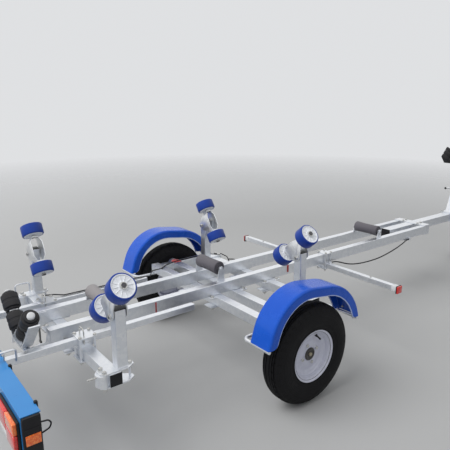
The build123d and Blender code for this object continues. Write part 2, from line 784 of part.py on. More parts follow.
for side in (1, -1):
    y_lamp = side * (BOARD_HALF - 30.0 - LAMP_L / 2)
    lamps.append(block(BOARD_REAR - LAMP_T, BOARD_REAR, y_lamp - LAMP_L / 2,
                       y_lamp + LAMP_L / 2, BOARD_TOP - 20.0 - LAMP_H, BOARD_TOP - 20.0))
    y_end = sorted((side * BOARD_HALF, side * (BOARD_HALF + 12.0)))
    caps.append(block(BOARD_REAR + 1.0, BOARD_FRONT - 4.0, y_end[0], y_end[1],
                      BOARD_TOP - BOARD_DEEP, BOARD_TOP - 8.0))
save("tail_lamps", *lamps)

# Marker arm across the front, under the rails, with reflectors on its ends
MARKER = 30.0
MARKER_X = 697.0
MARKER_HALF = 640.0
save("marker_arm", tube_y(-MARKER_HALF, MARKER_HALF, MARKER_X, CROSS_TOP, MARKER, MARKER, 2.5))
for side in (1, -1):
    y = side * RAIL_Y
    arm_clamps.append(block(MARKER_X - 32.0, MARKER_X + 32.0, y - 36.0, y + 36.0,
                               CROSS_TOP - MARKER - 5.0, CROSS_TOP - MARKER))
    arm_clamps.append(block(MARKER_X - 32.0, MARKER_X + 32.0, y - 36.0, y + 36.0,
                               RAIL_TOP, RAIL_TOP + 5.0))
    for dx in (-24.0, 24.0):
        for dy in (-28.0, 28.0):
            arm_clamps.append(upright(MARKER_X + dx, y + dy, CROSS_TOP - MARKER,
                                      RAIL_TOP, 4.0))

# Cable that sags in front of the marker arm, from a clip on the arm to a clip on the rail.
# Columns: distance from the wheel centre, place across, height
CABLE = (
    (706.0, -154.0, 435.0),
    (742.0, -154.0, 435.0),
    (796.0, -151.0, 419.0),
    (872.0, -146.0, 390.0),
    (962.0, -141.0, 367.0),
    (1070.0, -138.0, 355.0),
    (1165.0, -136.0, 352.0),
    (1250.0, -136.0, 354.0),
    (1346.0, -136.0, 367.0),
    (1453.0, -136.0, 388.0),
    (1523.0, -136.0, 409.0),
    (1566.0, -136.0, 426.0),
    (1586.0, -136.0, 426.0),
)
CABLE_R = 4.0
CLIP_HALF = 8.0
CABLE_BEND = 0.45
arm_clamps.append(block(CABLE[0][0] - 2 * CLIP_HALF, CABLE[0][0], CABLE[0][1] - CLIP_HALF,
                        CABLE[0][1] + CLIP_HALF, CROSS_TOP, CROSS_TOP + 10.0))
save("arm_clamps", *arm_clamps)
rail_face = RAIL_Y + RAIL_W / 2
bar_clamps.append(block(CABLE[-1][0], CABLE[-1][0] + 2 * CLIP_HALF, CABLE[-1][1] - CLIP_HALF,
                        -rail_face, CABLE[-1][2] - CLIP_HALF, CABLE[-1][2] + 2 * CLIP_HALF))
route = [Vector(fore(x), y, z) for x, y, z in CABLE]
radii = []
for before, at, after in zip(route, route[1:], route[2:]):
    turn = radians((at - before).get_angle(after - at))
    shorter = min((at - before).length, (after - at).length)
    radii.append(CABLE_BEND * shorter / tan(turn / 2))
print("cable radii", [round(radius) for radius in radii])
with BuildPart() as cable:
    with BuildLine() as cable_line:
        FilletPolyline(*route, radius=radii)
    first = route[1] - route[0]
    with BuildSketch(Plane(origin=route[0], z_dir=first)):
        Circle(CABLE_R)
    sweep()
cable_length = sum(edge.length for edge in cable_line.edges())
print("cable length", round(cable_length), "volume over length times section",
      round(cable.part.volume / (cable_length * pi * CABLE_R ** 2), 4))
save("front_cable", cable.part)

REFLECTOR_T = 14.0
REFLECTOR_HALF = 22.0
REFLECTOR_UP = 4.0
reflectors = []
for side in (1, -1):
    y_end = sorted((side * MARKER_HALF, side * (MARKER_HALF + REFLECTOR_T)))
    top = CROSS_TOP + REFLECTOR_UP
    reflectors.append(block(MARKER_X - REFLECTOR_HALF, MARKER_X + REFLECTOR_HALF, y_end[0], y_end[1],
                            top - 2 * REFLECTOR_HALF, top))
save("marker_reflectors", *reflectors)

# Plastic plugs in the tube ends and on the posts
for name, x, half in CROSS_TUBES:
    if name == "axle_beam":
        continue
    for side in (1, -1):
        y_end = side * half if side > 0 else side * half - CAP_T
        caps.append(block(x - CROSS / 2, x + CROSS / 2, y_end, y_end + CAP_T,
                          CROSS_TOP - CROSS, CROSS_TOP))
for side in (1, -1):
    caps.append(cap_x(RAIL_REAR, -1, side * RAIL_Y, RAIL_TOP, RAIL_W, RAIL_H))
    caps.append(cap_x(RAIL_FRONT, 1, side * RAIL_Y, RAIL_TOP, RAIL_W, RAIL_H))
    caps.append(cap_x(LIGHT_ARM_FRONT, 1, side * LIGHT_ARM_Y, LIGHT_ARM_TOP,
                      LIGHT_ARM, LIGHT_ARM))
caps.append(cap_x(BAR_REAR, -1, 0, RAIL_TOP, BAR_W, BAR_H))
save("tube_caps", *caps)

# Winch post, leaning forward, with the bow stop's arm and tilted plate on its rear side
WINCH_BACK = 600.0
POST_BASE_X = FRONT_REACH - WINCH_BACK
WINCH_LEAN = 19.0
WINCH_POST = 50.0
WINCH_POST_L = 560.0
BASE_T = 8.0
BASE_BACK = 44.0
BASE_AHEAD = 90.0
BASE_HALF = BAR_W / 2 + 22.0
BASE_TOP = RAIL_TOP + BASE_T
lean = radians(WINCH_LEAN)
STOP_DROP = 83.0
STOP_Z = BASE_TOP + (WINCH_POST_L - STOP_DROP) * cos(lean)
STOP_FRONT = POST_BASE_X - 51.0
STOP_TILT = 45.0
STOP_DEEP = 80.0
STOP_H = 105.0
STOP_HALF = 50.0
STOP_PLATE_T = 6.0
STOP_PLATE_HALF = 38.0
STOP_ARM_HALF = 20.0
STOP_ARM_H = 30.0
tilt = radians(STOP_TILT)
stop_face = Plane(origin=(fore(STOP_FRONT), 0, STOP_Z), x_dir=(0, 1, 0),
                  z_dir=(cos(tilt), 0, -sin(tilt)))
foot = Plane(origin=(fore(POST_BASE_X), 0, BASE_TOP), x_dir=(cos(lean), 0, -sin(lean)),
             z_dir=(sin(lean), 0, cos(lean)))
with BuildPart() as winch_post:
    with BuildSketch(foot.offset(-20.0)):
        RectangleRounded(WINCH_POST, WINCH_POST, WALL)
    extrude(amount=WINCH_POST_L + 20.0)
    add(block(STOP_FRONT - STOP_ARM_H, POST_BASE_X + (STOP_Z - BASE_TOP) * tan(lean),
              -STOP_ARM_HALF, STOP_ARM_HALF, STOP_Z - STOP_ARM_H / 2, STOP_Z + STOP_ARM_H / 2))
    with BuildSketch(stop_face):
        Rectangle(2 * STOP_PLATE_HALF, 2 * STOP_PLATE_HALF)
    extrude(amount=STOP_PLATE_T)
    split(bisect_by=stop_face, keep=Keep.TOP)
    split(bisect_by=Plane.XY.offset(RAIL_TOP), keep=Keep.TOP)
    add(block(POST_BASE_X - BASE_BACK, POST_BASE_X + BASE_AHEAD, -BASE_HALF, BASE_HALF,
              RAIL_TOP, BASE_TOP))
save("winch_post", winch_post.part)
bar_clamps.append(block(POST_BASE_X - BASE_BACK, POST_BASE_X + BASE_AHEAD, -BASE_HALF, BASE_HALF,
                        CROSS_TOP - BASE_T, CROSS_TOP))
for x in (POST_BASE_X - BASE_BACK + 14.0, POST_BASE_X + BASE_AHEAD - 14.0):
    for y in (-BASE_HALF + 11.0, BASE_HALF - 11.0):
        bar_clamps.append(upright(x, y, CROSS_TOP, RAIL_TOP, 6.0))
save("drawbar_clamps", *bar_clamps)

# Bow stop: a soft block tilted with its plate, with a V notch that opens to the rear
NOTCH_LIP = 10.0
NOTCH_DEEP = 50.0
stop_low = stop_face.from_local_coords((0, -STOP_H / 2, 0))
with BuildPart() as bow_stop:
    with BuildSketch(Plane(origin=tuple(stop_low), x_dir=tuple(stop_face.z_dir),
                           z_dir=tuple(stop_face.y_dir))):
        with BuildLine():
            Polyline(
                (0.0, -STOP_HALF),
                (-STOP_DEEP, -STOP_HALF),
                (-STOP_DEEP, -STOP_HALF + NOTCH_LIP),
                (-STOP_DEEP + NOTCH_DEEP, 0.0),
                (-STOP_DEEP, STOP_HALF - NOTCH_LIP),
                (-STOP_DEEP, STOP_HALF),
                (0.0, STOP_HALF),
                close=True,
            )
        make_face()
    extrude(amount=STOP_H)
save("bow_stop", bow_stop.part)

# Winch on the post's top: frame with two cheeks, drum with its crank
CHEEK_T = 5.0
CHEEK_IN = 41.0
DRUM_UP = 64.0
DRUM_CORE = 20.0
DRUM_FLANGE = 46.0
DRUM_HALF = CHEEK_IN - SIDE_GAP
DRUM_PIN_R = 8.0
CRANK_R = 150.0
CRANK_Y = 72.0
SEAT_HALF = 58.0
seat_plane = foot.offset(WINCH_POST_L)
with BuildPart() as winch_frame:
    with BuildSketch(seat_plane):
        Rectangle(2 * SEAT_HALF, 2 * (CHEEK_IN + CHEEK_T))
    extrude(amount=PLATE_T)
    for side in (1, -1):
        middle = seat_plane.from_local_coords((0, side * (CHEEK_IN + CHEEK_T / 2), 0))
        cheek_plane = Plane(origin=tuple(middle), x_dir=tuple(seat_plane.x_dir),
                            z_dir=tuple(-seat_plane.y_dir))
        with BuildSketch(cheek_plane):
            with BuildLine():
                Polyline(
                    (-SEAT_HALF, 0.0),
                    (SEAT_HALF, 0.0),
                    (SEAT_HALF, 22.0),
                    (26.0, DRUM_UP + 30.0),
                    (-26.0, DRUM_UP + 30.0),
                    (-SEAT_HALF, 60.0),
                    close=True,
                )
            make_face()
            with Locations((0, DRUM_UP)):
                Circle(DRUM_PIN_R + PIN_GAP, mode=Mode.SUBTRACT)
        extrude(amount=CHEEK_T / 2, both=True)
save("winch_frame", winch_frame.part)

drum_at = seat_plane.from_local_coords((0, 0, DRUM_UP))
drum_x = drum_at.X - AXLE_X
crank_foot = drum_at.Z - CRANK_R
with BuildPart() as drum:
    add(round_y(drum_x, drum_at.Z, -DRUM_HALF, DRUM_HALF, DRUM_CORE))
    add(round_y(drum_x, drum_at.Z, -DRUM_HALF, -DRUM_HALF + 4.0, DRUM_FLANGE))
    add(round_y(drum_x, drum_at.Z, DRUM_HALF - 4.0, DRUM_HALF, DRUM_FLANGE))
    add(round_y(drum_x, drum_at.Z, -CRANK_Y - 8.0, CHEEK_IN + CHEEK_T + 8.0, DRUM_PIN_R))
    with BuildSketch(Plane.XZ.offset(CRANK_Y)):
        with Locations((drum_at.X, drum_at.Z)):
            Circle(15.0)
        with Locations((drum_at.X, crank_foot)):
            Circle(11.0)
        make_hull()
    extrude(amount=-6.0)
    add(round_y(drum_x, crank_foot, -CRANK_Y - 96.0, -CRANK_Y, 6.0))
    add(round_y(drum_x, crank_foot, -CRANK_Y - 94.0, -CRANK_Y - 8.0, 13.0))
save("winch_drum", drum.part)

# Ball coupling over the drawbar's end, with its handle
BALL_R = 25.0
NOSE_R = 45.0
BALL_X = FRONT_REACH - NOSE_R
BALL_Z = 452.0
SHELL_T = 5.0
COUPLING_LAP = 64.0
COUPLING_REAR = BAR_FRONT - COUPLING_LAP
LEVER_L = 150.0
LEVER_T = 12.0
LEVER_RISE = 44.0
COUPLING_LOW = BALL_Z - 14.0
COUPLING_TOP = RAIL_TOP + SHELL_T
with BuildPart() as coupling:
    with BuildSketch(Plane.XY.offset(COUPLING_LOW)):
        with Locations((fore((COUPLING_REAR + BAR_FRONT) / 2) + 12.0, 0)):
            Rectangle(BAR_FRONT - COUPLING_REAR + 24.0, BAR_W + 2 * SHELL_T)
        with Locations((fore(BALL_X), 0)):
            Circle(NOSE_R)
        make_hull()
    extrude(amount=COUPLING_TOP - COUPLING_LOW)
    with BuildSketch(Plane.YZ.offset(fore(COUPLING_REAR) - 1.0)):
        with Locations((0, RAIL_TOP - BAR_H / 2)):
            Rectangle(BAR_W, BAR_H)
    extrude(amount=BAR_FRONT - COUPLING_REAR + 1.0, mode=Mode.SUBTRACT)
    with Locations((fore(BALL_X), 0, BALL_Z)):
        Sphere(BALL_R + PIN_GAP, mode=Mode.SUBTRACT)
    with BuildSketch(Plane.XY.offset(COUPLING_LOW)):
        with Locations((fore(BALL_X), 0)):
            Circle(BALL_R + PIN_GAP)
    extrude(amount=BALL_Z - COUPLING_LOW, mode=Mode.SUBTRACT)
with BuildPart() as lever:
    with BuildSketch(Plane.XZ.offset(-16.0)):
        with BuildLine():
            Polyline(
                (fore(BALL_X) + 12.0, COUPLING_TOP),
                (fore(BALL_X) + 12.0, COUPLING_TOP + 16.0),
                (fore(BALL_X) - 40.0, COUPLING_TOP + 30.0),
                (fore(BALL_X) - LEVER_L, COUPLING_TOP + LEVER_RISE),
                (fore(BALL_X) - LEVER_L, COUPLING_TOP + LEVER_RISE - LEVER_T),
                (fore(BALL_X) - 62.0, COUPLING_TOP + 16.0),
                (fore(BALL_X) - 62.0, COUPLING_TOP),
                close=True,
            )
        make_face()
    extrude(amount=32.0)
save("coupling", coupling.part, lever.part)

# Jockey wheel: clamp on the drawbar's left side, outer tube, leg, fork, wheel, crank
JOCKEY_BACK = 250.0
JOCKEY_X = FRONT_REACH - JOCKEY_BACK
JOCKEY_OUT = 50.0
JOCKEY_Y = BAR_W / 2 + JOCKEY_OUT
JOCKEY_TUBE_R = 24.0
JOCKEY_TUBE_T = 2.5
JOCKEY_TUBE_LOW = 300.0
JOCKEY_TUBE_TOP = 636.0
JOCKEY_LEG_R = JOCKEY_TUBE_R - JOCKEY_TUBE_T - PIN_GAP
JOCKEY_DROP = 120.0
LEG_STAYS_IN = 80.0
CRANK_BAR_DEG = 155.0
CRANK_BAR_LONG = 180.0
CRANK_BAR_SHORT = 100.0
CRANK_BAR_R = 8.0
CRANK_BAR_Z = JOCKEY_TUBE_TOP + 18.0
SCREW_DEEP = 60.0
GRIP_R = 13.0
GRIP_SPINDLE_R = 5.0
GRIP_FROM = 14.0
GRIP_TO = 94.0
JOCKEY_R = 100.0
JOCKEY_W = 50.0
JOCKEY_LEAD = 60.0
FORK_X = JOCKEY_X + JOCKEY_LEAD
CROWN_T = 6.0
CROWN_Z = 2 * JOCKEY_R + 12.0
FORK_IN = JOCKEY_W / 2 + RUN_GAP
FORK_T = 5.0
AXLE_R = 7.0
RING_R = JOCKEY_TUBE_R + 8.0
JOCKEY_PLATE_HALF = 34.0
with BuildPart() as jockey_clamp:
    add(block(JOCKEY_X - JOCKEY_PLATE_HALF, JOCKEY_X + JOCKEY_PLATE_HALF, BAR_W / 2,
              BAR_W / 2 + PLATE_T, CROSS_TOP, RAIL_TOP))
    with BuildSketch(Plane.XY.offset(RAIL_TOP - BAR_H / 2 - 22.0)):
        with Locations((fore(JOCKEY_X), BAR_W / 2 + 14.0)):
            Rectangle(34.0, 20.0)
        with Locations((fore(JOCKEY_X), JOCKEY_Y)):
            Circle(RING_R)
        with Locations((fore(JOCKEY_X), JOCKEY_Y)):
            Circle(JOCKEY_TUBE_R, mode=Mode.SUBTRACT)
    extrude(amount=44.0)
    with BuildSketch(Plane.XZ.offset(-(JOCKEY_Y + RING_R + 40.0))):
        with Locations((fore(JOCKEY_X), RAIL_TOP - BAR_H / 2)):
            Circle(6.0)
    extrude(amount=42.0)
    with BuildSketch(Plane.YZ.offset(fore(JOCKEY_X) - 34.0)):
        with Locations((JOCKEY_Y + RING_R + 36.0, RAIL_TOP - BAR_H / 2)):
            Circle(5.0)
    extrude(amount=68.0)
with BuildPart() as jockey_tube:
    with BuildSketch(Plane.XY.offset(JOCKEY_TUBE_LOW)):
        with Locations((fore(JOCKEY_X), JOCKEY_Y)):
            Circle(JOCKEY_TUBE_R)
            Circle(JOCKEY_TUBE_R - JOCKEY_TUBE_T, mode=Mode.SUBTRACT)
    extrude(amount=JOCKEY_TUBE_TOP - JOCKEY_TUBE_LOW)
save("jockey_tube", jockey_clamp.part, jockey_tube.part)
LEG_LOW = CROWN_Z + CROWN_T
with BuildPart() as jockey_leg:
    add(upright(JOCKEY_X, JOCKEY_Y, LEG_LOW, JOCKEY_TUBE_LOW + JOCKEY_DROP + LEG_STAYS_IN,
                JOCKEY_LEG_R))
    add(upright(JOCKEY_X, JOCKEY_Y, LEG_LOW, LEG_LOW + 8.0, JOCKEY_TUBE_R + 1.0))
save("jockey_leg", jockey_leg.part)
with BuildPart() as fork:
    with BuildSketch(Plane.XY.offset(CROWN_Z)):
        with Locations((fore(JOCKEY_X), JOCKEY_Y)):
            Circle(26.0)
        with Locations((fore(FORK_X), JOCKEY_Y)):
            Rectangle(40.0, 2 * (FORK_IN + FORK_T))
        make_hull()
    extrude(amount=CROWN_T)
    for y0 in (JOCKEY_Y - FORK_IN, JOCKEY_Y + FORK_IN + FORK_T):
        with BuildSketch(Plane.XZ.offset(-y0)):
            with Locations((fore(FORK_X), JOCKEY_R)):
                Circle(16.0)
            with Locations((fore(FORK_X), CROWN_Z + CROWN_T / 2)):
                Rectangle(40.0, CROWN_T)
            make_hull()
        extrude(amount=FORK_T)
    add(round_y(FORK_X, JOCKEY_R, JOCKEY_Y - FORK_IN - FORK_T - 7.0,
                JOCKEY_Y + FORK_IN + FORK_T + 7.0, AXLE_R))
save("jockey_fork", fork.part)
with BuildPart() as jockey_wheel:
    hub = Plane(origin=(fore(FORK_X), JOCKEY_Y, JOCKEY_R), x_dir=(0, 1, 0),
                z_dir=(1, 0, 0))
    with BuildSketch(hub):
        with BuildLine():
            Polyline(
                (-JOCKEY_W / 2, AXLE_R + PIN_GAP),
                (JOCKEY_W / 2, AXLE_R + PIN_GAP),
                (JOCKEY_W / 2, 18.0),
                (JOCKEY_W / 2 - 10.0, 20.0),
                (JOCKEY_W / 2 - 10.0, 60.0),
                (JOCKEY_W / 2, 64.0),
                (JOCKEY_W / 2, JOCKEY_R - 10.0),
                (JOCKEY_W / 2 - 9.0, JOCKEY_R),
                (-JOCKEY_W / 2 + 9.0, JOCKEY_R),
                (-JOCKEY_W / 2, JOCKEY_R - 10.0),
                (-JOCKEY_W / 2, 64.0),
                (-JOCKEY_W / 2 + 10.0, 60.0),
                (-JOCKEY_W / 2 + 10.0, 20.0),
                (-JOCKEY_W / 2, 18.0),
                close=True,
            )
        make_face()
    revolve(axis=Axis(hub.origin, hub.x_dir))
save("jockey_wheel", jockey_wheel.part)
# The crank's bar runs through its head: a long end with a cap, a short one with the grip
bar_x = cos(radians(CRANK_BAR_DEG))
bar_y = sin(radians(CRANK_BAR_DEG))
grip_x = JOCKEY_X - CRANK_BAR_SHORT * bar_x
grip_y = JOCKEY_Y - CRANK_BAR_SHORT * bar_y
with BuildPart() as crank:
    add(upright(JOCKEY_X, JOCKEY_Y, JOCKEY_TUBE_TOP, JOCKEY_TUBE_TOP + 8.0, JOCKEY_TUBE_R + 2.0))
    add(upright(JOCKEY_X, JOCKEY_Y, JOCKEY_TUBE_TOP - SCREW_DEEP, JOCKEY_TUBE_TOP, 10.0))
    add(upright(JOCKEY_X, JOCKEY_Y, JOCKEY_TUBE_TOP, CRANK_BAR_Z + 14.0, 14.0))
    with BuildSketch(Plane(origin=(fore(grip_x), grip_y, CRANK_BAR_Z),
                           z_dir=(bar_x, bar_y, 0)).offset(-GRIP_R)):
        Circle(CRANK_BAR_R)
    extrude(amount=GRIP_R + CRANK_BAR_SHORT + CRANK_BAR_LONG)
    add(upright(grip_x, grip_y, CRANK_BAR_Z, CRANK_BAR_Z + GRIP_TO + 3.0, GRIP_SPINDLE_R))
    add(upright(grip_x, grip_y, CRANK_BAR_Z + GRIP_FROM, CRANK_BAR_Z + GRIP_TO, GRIP_R))
save("jockey_crank", crank.part)
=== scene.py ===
"""Looks of the boat trailer: finishes for every part of the frame, and the pieces that dress it."""
import json
import logging
from collections.abc import Iterable, Sequence
from dataclasses import dataclass, field
from enum import Enum
from functools import lru_cache
from itertools import product
from math import ceil, cos, hypot, pi, radians, sin, tan

import bmesh
import bpy
from mathutils import Matrix, Vector


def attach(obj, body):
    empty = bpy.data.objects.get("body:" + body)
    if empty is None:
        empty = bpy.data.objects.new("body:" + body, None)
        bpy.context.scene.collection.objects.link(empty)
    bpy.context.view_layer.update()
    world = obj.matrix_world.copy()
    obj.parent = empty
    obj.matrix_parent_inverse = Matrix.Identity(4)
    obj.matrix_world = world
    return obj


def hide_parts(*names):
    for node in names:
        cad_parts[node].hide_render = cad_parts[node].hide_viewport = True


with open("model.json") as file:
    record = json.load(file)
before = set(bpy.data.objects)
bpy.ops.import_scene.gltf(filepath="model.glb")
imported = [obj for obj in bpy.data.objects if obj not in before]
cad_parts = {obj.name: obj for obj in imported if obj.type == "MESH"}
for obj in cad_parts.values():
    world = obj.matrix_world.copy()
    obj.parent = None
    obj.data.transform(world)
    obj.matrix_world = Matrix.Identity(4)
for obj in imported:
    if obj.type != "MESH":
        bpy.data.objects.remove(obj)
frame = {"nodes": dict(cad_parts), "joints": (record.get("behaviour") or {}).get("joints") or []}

LOG = logging.getLogger("trailer")
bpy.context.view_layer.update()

Colour = tuple[float, float, float]
Point = tuple[float, float, float]
Pair = tuple[float, float]
Edge = bmesh.types.BMEdge
Mesh = bmesh.types.BMesh
Link = bpy.types.NodeSocket
Links = bpy.types.bpy_prop_collection

MM = 0.001
AXLE_X = -0.8275

# Millimetres, with x ahead of the wheel centre, to metres in the trailer's frame
IN_PLACE = Matrix.Translation((AXLE_X, 0.0, 0.0)) @ Matrix.Scale(MM, 4)

# Places that pieces share, in millimetres from the wheel centre, the middle and the ground
SIDES = (1, -1)
WHEEL_RADIUS = 252.5
REAR_TUBE, MIDDLE_TUBE, AXLE_BEAM, FRONT_TUBE = -937.0, -165.0, -42.0, 204.0
TUBE_LOW, RAIL_LOW, RAIL_TOP = 380.0, 430.0, 490.0
RAIL_Y = 110.0
REAR_POST: Pair = (-900.0, 478.0)
FRONT_POST: Pair = (153.0, 412.0)
MARKER_X = 697.0
LIGHT_ARM_Y = 228.0
BOARD_REAR, BOARD_HALF, BOARD_TOP = -1322.0, 641.0, 478.0

# Distance in metres between the fine rings of tyres and rims
RING_PITCH = 0.009

# A washer's thickness and a hexagon's width for each millimetre of thread
WASHER = 0.16
ACROSS = 1.65


# Shader nodes


class Mixed(Enum):
    """What a Mix node mixes, and the place of that kind among the node's sockets."""

    FLOAT = 0
    VECTOR = 1
    RGBA = 2


class Graph:
    """A node tree while nodes are being added to it."""

    def __init__(self, tree: bpy.types.NodeTree) -> None:
        """Start from a tree."""
        self.tree = tree

    def node(self, kind: str, sockets: dict | None = None, **settings) -> bpy.types.Node:
        """Add a node.

        Args:
            kind: Node type without its ShaderNode prefix.
            sockets: Input values or links by socket name or number.
            settings: The node's own settings.

        Returns:
            The new node.
        """
        node = self.tree.nodes.new("ShaderNode" + kind)
        for label, value in settings.items():
            setattr(node, label, value)
        for label, value in (sockets or {}).items():
            if isinstance(value, Link):
                self.tree.links.new(value, node.inputs[label])
            else:
                node.inputs[label].default_value = value
        return node

    def where(self) -> Link:
        """Place of a point in its object."""
        return self.node("TexCoord").outputs["Object"]

    def math(self, operation: str, *values: Link | float) -> Link:
        """Result of one operation on numbers or sockets."""
        return self.node("Math", dict(enumerate(values)), operation=operation).outputs[0]

    def noise(self, where: Link, scale: Link | float, detail: float, rough: float = 0.5) -> Link:
        """Cloudy noise between 0 and 1."""
        return self.node("TexNoise", {"Vector": where, "Scale": scale, "Detail": detail,
                                      "Roughness": rough}).outputs["Fac"]

    def ramp(self, value: Link, low: float, high: float, start: float = 0.0,
             end: float = 1.0) -> Link:
        """Map a value's range start to end onto low to high."""
        return self.node("MapRange", {0: value, 1: start, 2: end, 3: low, 4: high}).outputs[0]

    def mix(self, kind: Mixed, share: Link | float, first: Link | float | tuple,
            second: Link | float | tuple) -> Link:
        """Mix two values of one kind.

        Args:
            kind: Their kind.
            share: Share of the second, between 0 and 1.
            first: Value at a share of 0.
            second: Value at a share of 1.

        Returns:
            The mixed value.
        """
        place = kind.value
        sockets = {0: share, 2 + 2 * place: first, 3 + 2 * place: second}
        return self.node("Mix", sockets, data_type=kind.name).outputs[place]

    def blend(self, share: Link, first: Colour | Link, second: Colour | Link) -> Link:
        """Mix two colours by a share between 0 and 1."""
        pair = [(*c, 1.0) if isinstance(c, tuple) else c for c in (first, second)]
        return self.mix(Mixed.RGBA, share, *pair)


class Effect(Graph):
    """A shader node group while it is being built."""

    def __init__(self, name: str, inputs: dict[str, float], *outputs: str) -> None:
        """Start the group.

        Args:
            name: What the effect is called.
            inputs: Number inputs with their usual values.
            outputs: Outputs. One called Normal is a vector, the others are numbers.
        """
        super().__init__(bpy.data.node_groups.new(name, "ShaderNodeTree"))
        interface = self.tree.interface
        for label, value in inputs.items():
            socket = interface.new_socket(name=label, in_out="INPUT", socket_type="NodeSocketFloat")
            socket.default_value = value
        for label in outputs:
            kind = "NodeSocketVector" if label == "Normal" else "NodeSocketFloat"
            interface.new_socket(name=label, in_out="OUTPUT", socket_type=kind)
        self.source = self.tree.nodes.new("NodeGroupInput").outputs
        self.result = self.tree.nodes.new("NodeGroupOutput").inputs

    def give(self, **results: Link) -> bpy.types.ShaderNodeTree:
        """Connect the outputs.

        Args:
            results: Sockets by the output that they feed.

        Returns:
            The finished group.
        """
        for label, socket in results.items():
            self.tree.links.new(socket, self.result[label])
        return self.tree


@lru_cache
def spangle() -> bpy.types.ShaderNodeTree:
    """Crystals of a hot dip zinc coat: a tone for each crystal and a slight unevenness.

    Returns:
        The node group.
    """
    effect = Effect("zinc spangle", {"Size": 0.012, "Streaks": 0.5}, "Tone", "Height")
    where = effect.where()
    per_metre = effect.math("DIVIDE", 1.0, effect.source["Size"])
    warp = effect.node("TexNoise", {"Vector": where, "Scale": 55.0, "Detail": 2.0})
    bent = effect.mix(Mixed.VECTOR, 0.02, where, warp.outputs["Color"])
    cells = effect.node("TexVoronoi", {"Vector": bent, "Scale": per_metre})
    tone = effect.node("SeparateColor", {0: cells.outputs["Color"]}).outputs[0]
    cloud = effect.noise(where, 7.0, 5.0, 0.65)
    runs = effect.node("Mapping", {"Vector": where, "Scale": (60.0, 60.0, 6.0)})
    drips = effect.noise(runs.outputs[0], 1.0, 3.0)
    streaks = effect.mix(Mixed.FLOAT, effect.source["Streaks"], cloud, drips)
    mixed = effect.mix(Mixed.FLOAT, 0.6, tone, streaks)
    fine = effect.noise(where, 420.0, 3.0)
    height = effect.math("ADD", mixed, effect.math("MULTIPLY", fine, 0.35))
    return effect.give(Tone=mixed, Height=height)


@lru_cache
def grain() -> bpy.types.ShaderNodeTree:
    """Fine grain of a moulded or cast surface, with slow clouding under it.

    Returns:
        The node group.
    """
    effect = Effect("moulded grain", {"Fine": 700.0, "Broad": 9.0}, "Tone", "Height")
    where = effect.where()
    fine = effect.noise(where, effect.source["Fine"], 2.0)
    broad = effect.noise(where, effect.source["Broad"], 5.0, 0.6)
    return effect.give(Tone=effect.mix(Mixed.FLOAT, 0.3, broad, fine), Height=fine)


@lru_cache
def edge_wear() -> bpy.types.ShaderNodeTree:
    """Mask along rubbed edges, and a normal that rounds them off.

    Returns:
        The node group.
    """
    effect = Effect("edge wear", {"Radius": 0.002, "Strength": 4.0}, "Mask", "Normal")
    rounded = effect.node("Bevel", {"Radius": effect.source["Radius"]}, samples=4).outputs[0]
    true = effect.node("NewGeometry").outputs["Normal"]
    same = effect.node("VectorMath", {0: rounded, 1: true}, operation="DOT_PRODUCT")
    turned_by = effect.math("SUBTRACT", 1.0, same.outputs["Value"])
    patchy = effect.noise(effect.where(), 90.0, 4.0)
    worn = effect.math("MULTIPLY", turned_by, effect.source["Strength"])
    mask = effect.node("Clamp", {0: effect.math("MULTIPLY", worn, patchy)}).outputs[0]
    return effect.give(Mask=mask, Normal=rounded)


@lru_cache
def dust() -> bpy.types.ShaderNodeTree:
    """Mask of yard dust on faces that look upward.

    Returns:
        The node group.
    """
    effect = Effect("yard dust", {"Amount": 0.3}, "Mask")
    place = effect.node("TexCoord")
    up = effect.node("SeparateXYZ", {0: place.outputs["Normal"]}).outputs[2]
    level = effect.ramp(up, 0.0, 1.0, 0.1, 1.0)
    blown = effect.noise(place.outputs["Object"], 14.0, 6.0, 0.7)
    mask = effect.math("MULTIPLY", effect.math("MULTIPLY", level, blown), effect.source["Amount"])
    return effect.give(Mask=mask)


@lru_cache
def rings() -> bpy.types.ShaderNodeTree:
    """Fine rings round the wheels' axle, as moulded into a tyre's side or turned into a rim.

    Returns:
        The node group.
    """
    effect = Effect("rings round the axle", {"Pitch": 0.006}, "Height")
    centre = (-AXLE_X, 0.0, -WHEEL_RADIUS * MM)
    centred = effect.node("Mapping", {"Vector": effect.where(), "Location": centre})
    flat = effect.node("VectorMath", {0: centred.outputs[0], 1: (1.0, 0.0, 1.0)},
                       operation="MULTIPLY")
    radius = effect.node("VectorMath", {0: flat.outputs[0]}, operation="LENGTH").outputs["Value"]
    turns = effect.math("DIVIDE", radius, effect.source["Pitch"])
    return effect.give(Height=effect.math("SINE", effect.math("MULTIPLY", turns, 2 * pi)))


